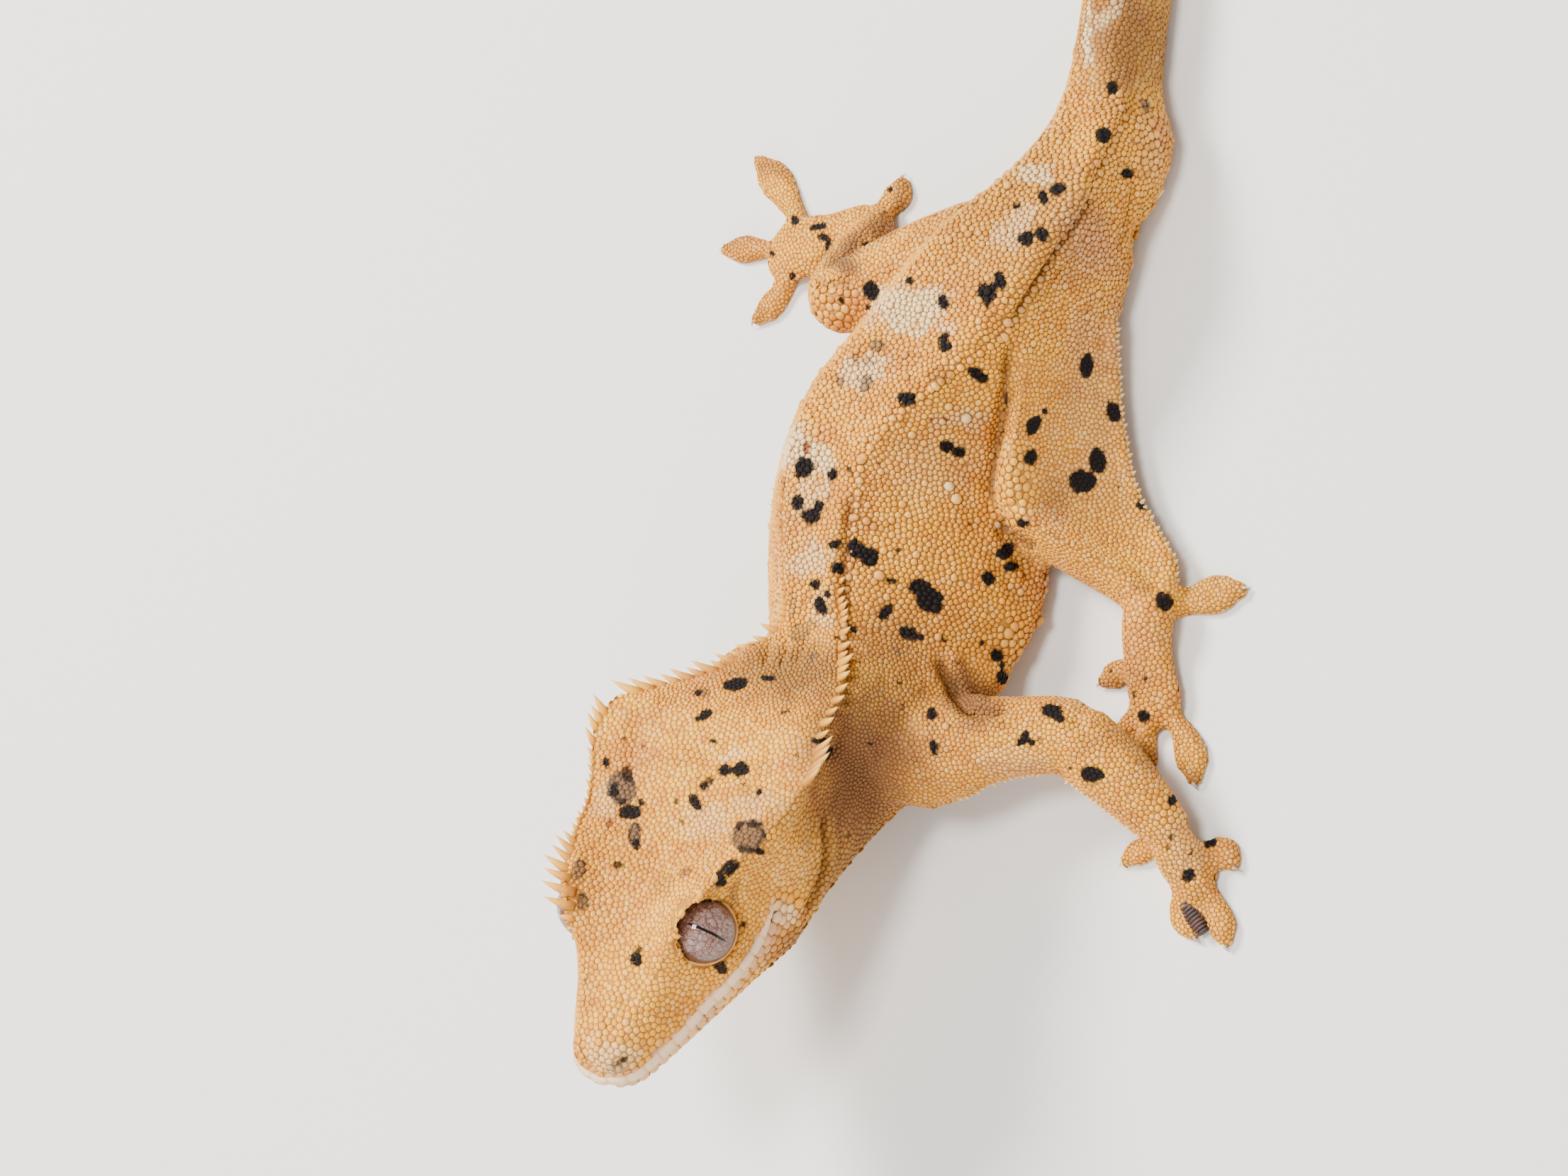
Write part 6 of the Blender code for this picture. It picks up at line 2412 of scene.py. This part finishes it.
@dataclass
class Fringe:
    """Pointed scales that stand out along the body's edges, and the spur beside the tail."""

    skin: Skin
    pigment: PigmentAndShade
    backward: float = 0.45
    spur_length: float = 0.95
    spur_width: float = 0.30
    search: range = range(0, 44, 2)
    jump: float = 1.6

    def _outermost(self, start: Array, out: Array, tree: BVHTree) -> Array | None:
        """The last point of the skin met when going outwards from a view pixel.

        Args:
            start: The pixel.
            out: The way outwards, in pixels.
            tree: A search tree over the skin.

        Returns:
            The point, or None.
        """
        last = None
        for step in self.search:
            place = self.skin.seen(*(start + out * step), tree)
            if place is None or (last is not None and np.linalg.norm(place - last) > self.jump):
                break
            last = place
        return last

    def build(self, finish: Material) -> Piece:
        """All of them as one piece.

        Args:
            finish: Its material.

        Returns:
            The piece.
        """
        tree = self.skin.tree()
        lens = self.skin.flesh.lens
        _toward, up, right = lens.axes()
        roots, aims, along, lengths, widths = [], [], [], [], []
        for spacing, length, width, side, pixels in FRINGES:
            line = np.array(pixels, float)
            legs = distances_along(line)
            stops = np.arange(0.0, legs[-1], spacing * lens.scale)
            track = np.stack([np.interp(stops, legs, line[:, k]) for k in (0, 1)], axis=1)
            leg = unit(np.gradient(track, axis=0))
            for number, (start, run) in enumerate(zip(track, leg)):
                out = side * np.array((-run[1], run[0]))
                root = self._outermost(start, out, tree)
                if root is None:
                    continue
                rank = 0.75 + 0.25 * math.sin(number * 2.4)
                roots.append(root)
                along.append(right * run[0] - up * run[1])
                lean = self.backward * along[-1] * (1 if run[1] < 0 else -1)
                aims.append(right * out[0] - up * out[1] + lean)
                lengths.append(length * rank)
                widths.append(width)
        base, tip = (np.array(place) for place in SPUR)
        root = self._outermost(base, unit(tip - base), tree)
        if root is not None:
            roots.append(root)
            aims.append(right * (tip - base)[0] - up * (tip - base)[1])
            along.append(right * (tip - base)[1] + up * (tip - base)[0])
            lengths.append(self.spur_length)
            widths.append(self.spur_width)
        places = np.array(roots)
        return Spikes(self.pigment, flatness=0.8).build(
            "edge_scales", places, unit(np.array(aims)), np.array(lengths), np.array(widths),
            np.zeros((len(places), 3)), unit(np.array(along)), finish,
            self.skin.regions_at(places, tree), pale=0.55)


@dataclass
class CurledPad:
    """The ridged underside of the finger that curls back, seen inside its loop."""

    flesh: Flesh
    line: Pixels = ((1668, 1266), (1677, 1282), (1688, 1298), (1698, 1314))
    level: float = 0.95
    ridges: int = 12
    size: Point = (0.85, 0.22, 0.5)

    def build(self, finish: Material) -> Piece:
        """The ridges as one piece, laid across the line of the loop.

        Args:
            finish: Its material.

        Returns:
            The piece.
        """
        bm = bmesh.new()
        places = []
        for across, down in self.line:
            start, aim = self.flesh.lens.ray(across, down)
            start = start + self.flesh.shift
            places.append(start + aim * (self.level - start[2]) / aim[2])
        path = np.array(places)
        shares = np.linspace(0.0, len(path) - 1.0, self.ridges)
        for share in shares:
            middle = np.array([np.interp(share, np.arange(len(path)), path[:, axis]) for axis in range(3)])
            first = min(int(share), len(path) - 2)
            run = unit(path[min(int(share) + 1, len(path) - 1)] - path[first])
            ball = bmesh.ops.create_icosphere(bm, subdivisions=2, radius=1.0)["verts"]
            grow = 0.75 + 0.25 * math.sin(math.pi * share / (len(path) - 1))
            bmesh.ops.scale(bm, verts=ball, vec=Vector(self.size) * grow)
            turn = Matrix.Rotation(math.atan2(run[1], run[0]) - math.pi / 2, 3, "Z")
            bmesh.ops.rotate(bm, verts=ball, cent=(0, 0, 0), matrix=turn)
            bmesh.ops.translate(bm, verts=ball, vec=Vector(middle))
        return add_piece("curled_pad", finished(bm, "curled_pad"), finish)


@dataclass
class Claws:
    """Small hooked claws at the tips of the digits."""

    flesh: Flesh
    length: float = 0.72
    width: float = 0.20
    droop: float = 0.42
    height: float = 0.60
    sides: int = 8
    steps: int = 6
    sunk: float = 0.25
    arch: float = 0.20
    point: float = 0.014

    def build(self, finish: Material) -> Piece:
        """All the claws as one piece.

        Args:
            finish: Its material.

        Returns:
            The piece.
        """
        bm = bmesh.new()
        turns = np.arange(self.sides) * 2 * math.pi / self.sides
        for start, aim in self.flesh.claws:
            side = np.cross(aim, np.array((0.0, 0.0, 1.0)))
            ring = side * 0.8 * np.cos(turns)[:, None] + np.array((0.0, 0.0, 1.0)) * np.sin(turns)[:, None]
            rings = []
            for share in np.linspace(0.0, 1.0, self.steps + 1):
                middle = start + aim * (share * self.length - self.sunk)
                middle[2] = self.height + self.arch * math.sin(share * math.pi) - self.droop * share ** 2
                rings.append(middle + ring * (self.width * (1.0 - share) ** 0.8 + self.point))
            bridged(bm, rings)
        return add_piece("claws", finished(bm, "claws"), finish)


@dataclass
class Studio:
    """Pale floor, soft light and the camera at the picture's angle."""

    lens: Lens
    shift: Array
    floor_size: float = 3.0
    floor_colour: Row = srgb(226, 224, 220)

    def floor(self) -> Piece:
        """The pale floor under the animal.

        Returns:
            Its object.
        """
        bm = bmesh.new()
        bmesh.ops.create_grid(bm, x_segments=1, y_segments=1, size=self.floor_size / 2)
        mesh = bpy.data.meshes.new("floor")
        bm.to_mesh(mesh)
        bm.free()
        sheet = NodeSheet("floor")
        return add_piece("floor", mesh, sheet.finish(Base_Color=self.floor_colour, Roughness=0.8))

    def lamp(self, name: str, place: Row, aim: Row, size: float, power: float, colour: Row) -> None:
        """One square soft light.

        Args:
            name: Its name.
            place: Where it stands, in millimetres from the model's middle.
            aim: What it looks at, in the same terms.
            size: The length of its sides in metres.
            power: Its output in watts.
            colour: Its colour.
        """
        light = bpy.data.lights.new(name, "AREA")
        light.size = size
        light.energy = power
        light.color = colour[:3]
        lamp = bpy.data.objects.new(name, light)
        bpy.context.scene.collection.objects.link(lamp)
        lamp.location = Vector(place) * MM
        lamp.rotation_euler = (Vector(aim) - Vector(place)).to_track_quat("-Z", "Y").to_euler()

    def camera(self) -> None:
        """The camera, at the picture's viewing angle."""
        toward, up, right = self.lens.axes()
        data = bpy.data.cameras.new("view")
        data.sensor_width = self.lens.sensor
        data.lens = self.lens.focal() / self.lens.width * self.lens.sensor
        data.clip_start = 0.01
        data.clip_end = 20.0
        camera = bpy.data.objects.new("view", data)
        bpy.context.scene.collection.objects.link(camera)
        place = (np.array(self.lens.target) + toward * self.lens.distance + self.shift) * MM
        turn = Matrix((right, up, toward)).transposed()
        camera.matrix_world = Matrix.Translation(Vector(place)) @ turn.to_4x4()
        bpy.context.scene.camera = camera

    def build(self) -> None:
        """Set all of it up."""
        self.floor()
        self.camera()
        self.lamp("key", (-330.0, 260.0, 520.0), (0.0, -20.0, 5.0), 0.20, 10.6, (1.0, 0.96, 0.90))
        self.lamp("fill", (420.0, -260.0, 420.0), (0.0, 0.0, 5.0), 1.3, 2.6, (1.0, 0.98, 0.95))
        self.lamp("front", (-60.0, -420.0, 300.0), (0.0, -20.0, 10.0), 0.5, 2.4, (1.0, 0.98, 0.95))
        self.lamp("window", (34.0, -38.0, 620.0), (0.0, -30.0, 10.0), 0.15, 3.8, (1.0, 0.99, 0.97))
        world = bpy.data.worlds.new("room")
        world.use_nodes = True
        world.node_tree.nodes["Background"].inputs["Color"].default_value = srgb(240, 238, 235)
        world.node_tree.nodes["Background"].inputs["Strength"].default_value = 0.37
        bpy.context.scene.world = world


def placed(piece: Piece) -> Piece:
    """Let one piece ride on the body, and report it.

    Args:
        piece: The piece.

    Returns:
        The piece.
    """
    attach(piece, BODY)
    LOG.info("%s: %d faces", piece.name, len(piece.data.polygons))
    return piece


def main() -> None:
    """Build the skin and all that it carries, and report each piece."""
    logging.basicConfig(level=logging.INFO, format="%(message)s")
    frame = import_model()
    lens, head = Lens(), HeadAxes()
    middles = {name: np.mean([np.array(corner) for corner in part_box(name)], axis=0) / MM for name in EYES}
    shift = middles["eye_left"] - head.point(*EYE_PLACE)
    low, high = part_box("eye_left")
    flesh = Flesh(frame["nodes"], lens, head, shift, middles, float((high - low).x) / MM / 2)
    skin = flesh.build()
    pigment = PigmentAndShade(skin)
    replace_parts(placed(skin.dress(pigment)), *flesh.names)
    crest = Crest(skin, pigment)
    spines = crest.build(HideFinish().build("spines", on_scales=True))
    scales = Scales(skin, pigment, crest.roots).build()
    for piece in (spines, *scales):
        placed(piece)
    globes = Eyes(flesh)
    wet = EyeFinish().build("wet_eye")
    for name in EYES:
        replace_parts(placed(globes.build(name, wet)), name)
    lid = PlainFinish("lid", srgb(212, 152, 78), srgb(186, 122, 62), 0.42).build()
    dark_pad = PlainFinish("curled_pad", srgb(44, 26, 22), srgb(76, 48, 38), 0.6).build()
    horn = PlainFinish("horn", srgb(206, 194, 176), srgb(140, 120, 104), 0.3).build()
    skin_finish = HideFinish().build("edges", on_scales=True)
    for piece in (Lids(flesh).build(lid), LipRidge(skin).build(skin_finish),
                  Fringe(skin, pigment).build(skin_finish), CurledPad(flesh).build(dark_pad),
                  Claws(flesh).build(horn)):
        placed(piece)
    Studio(lens, shift).build()


if __name__ == "__main__":
    main()
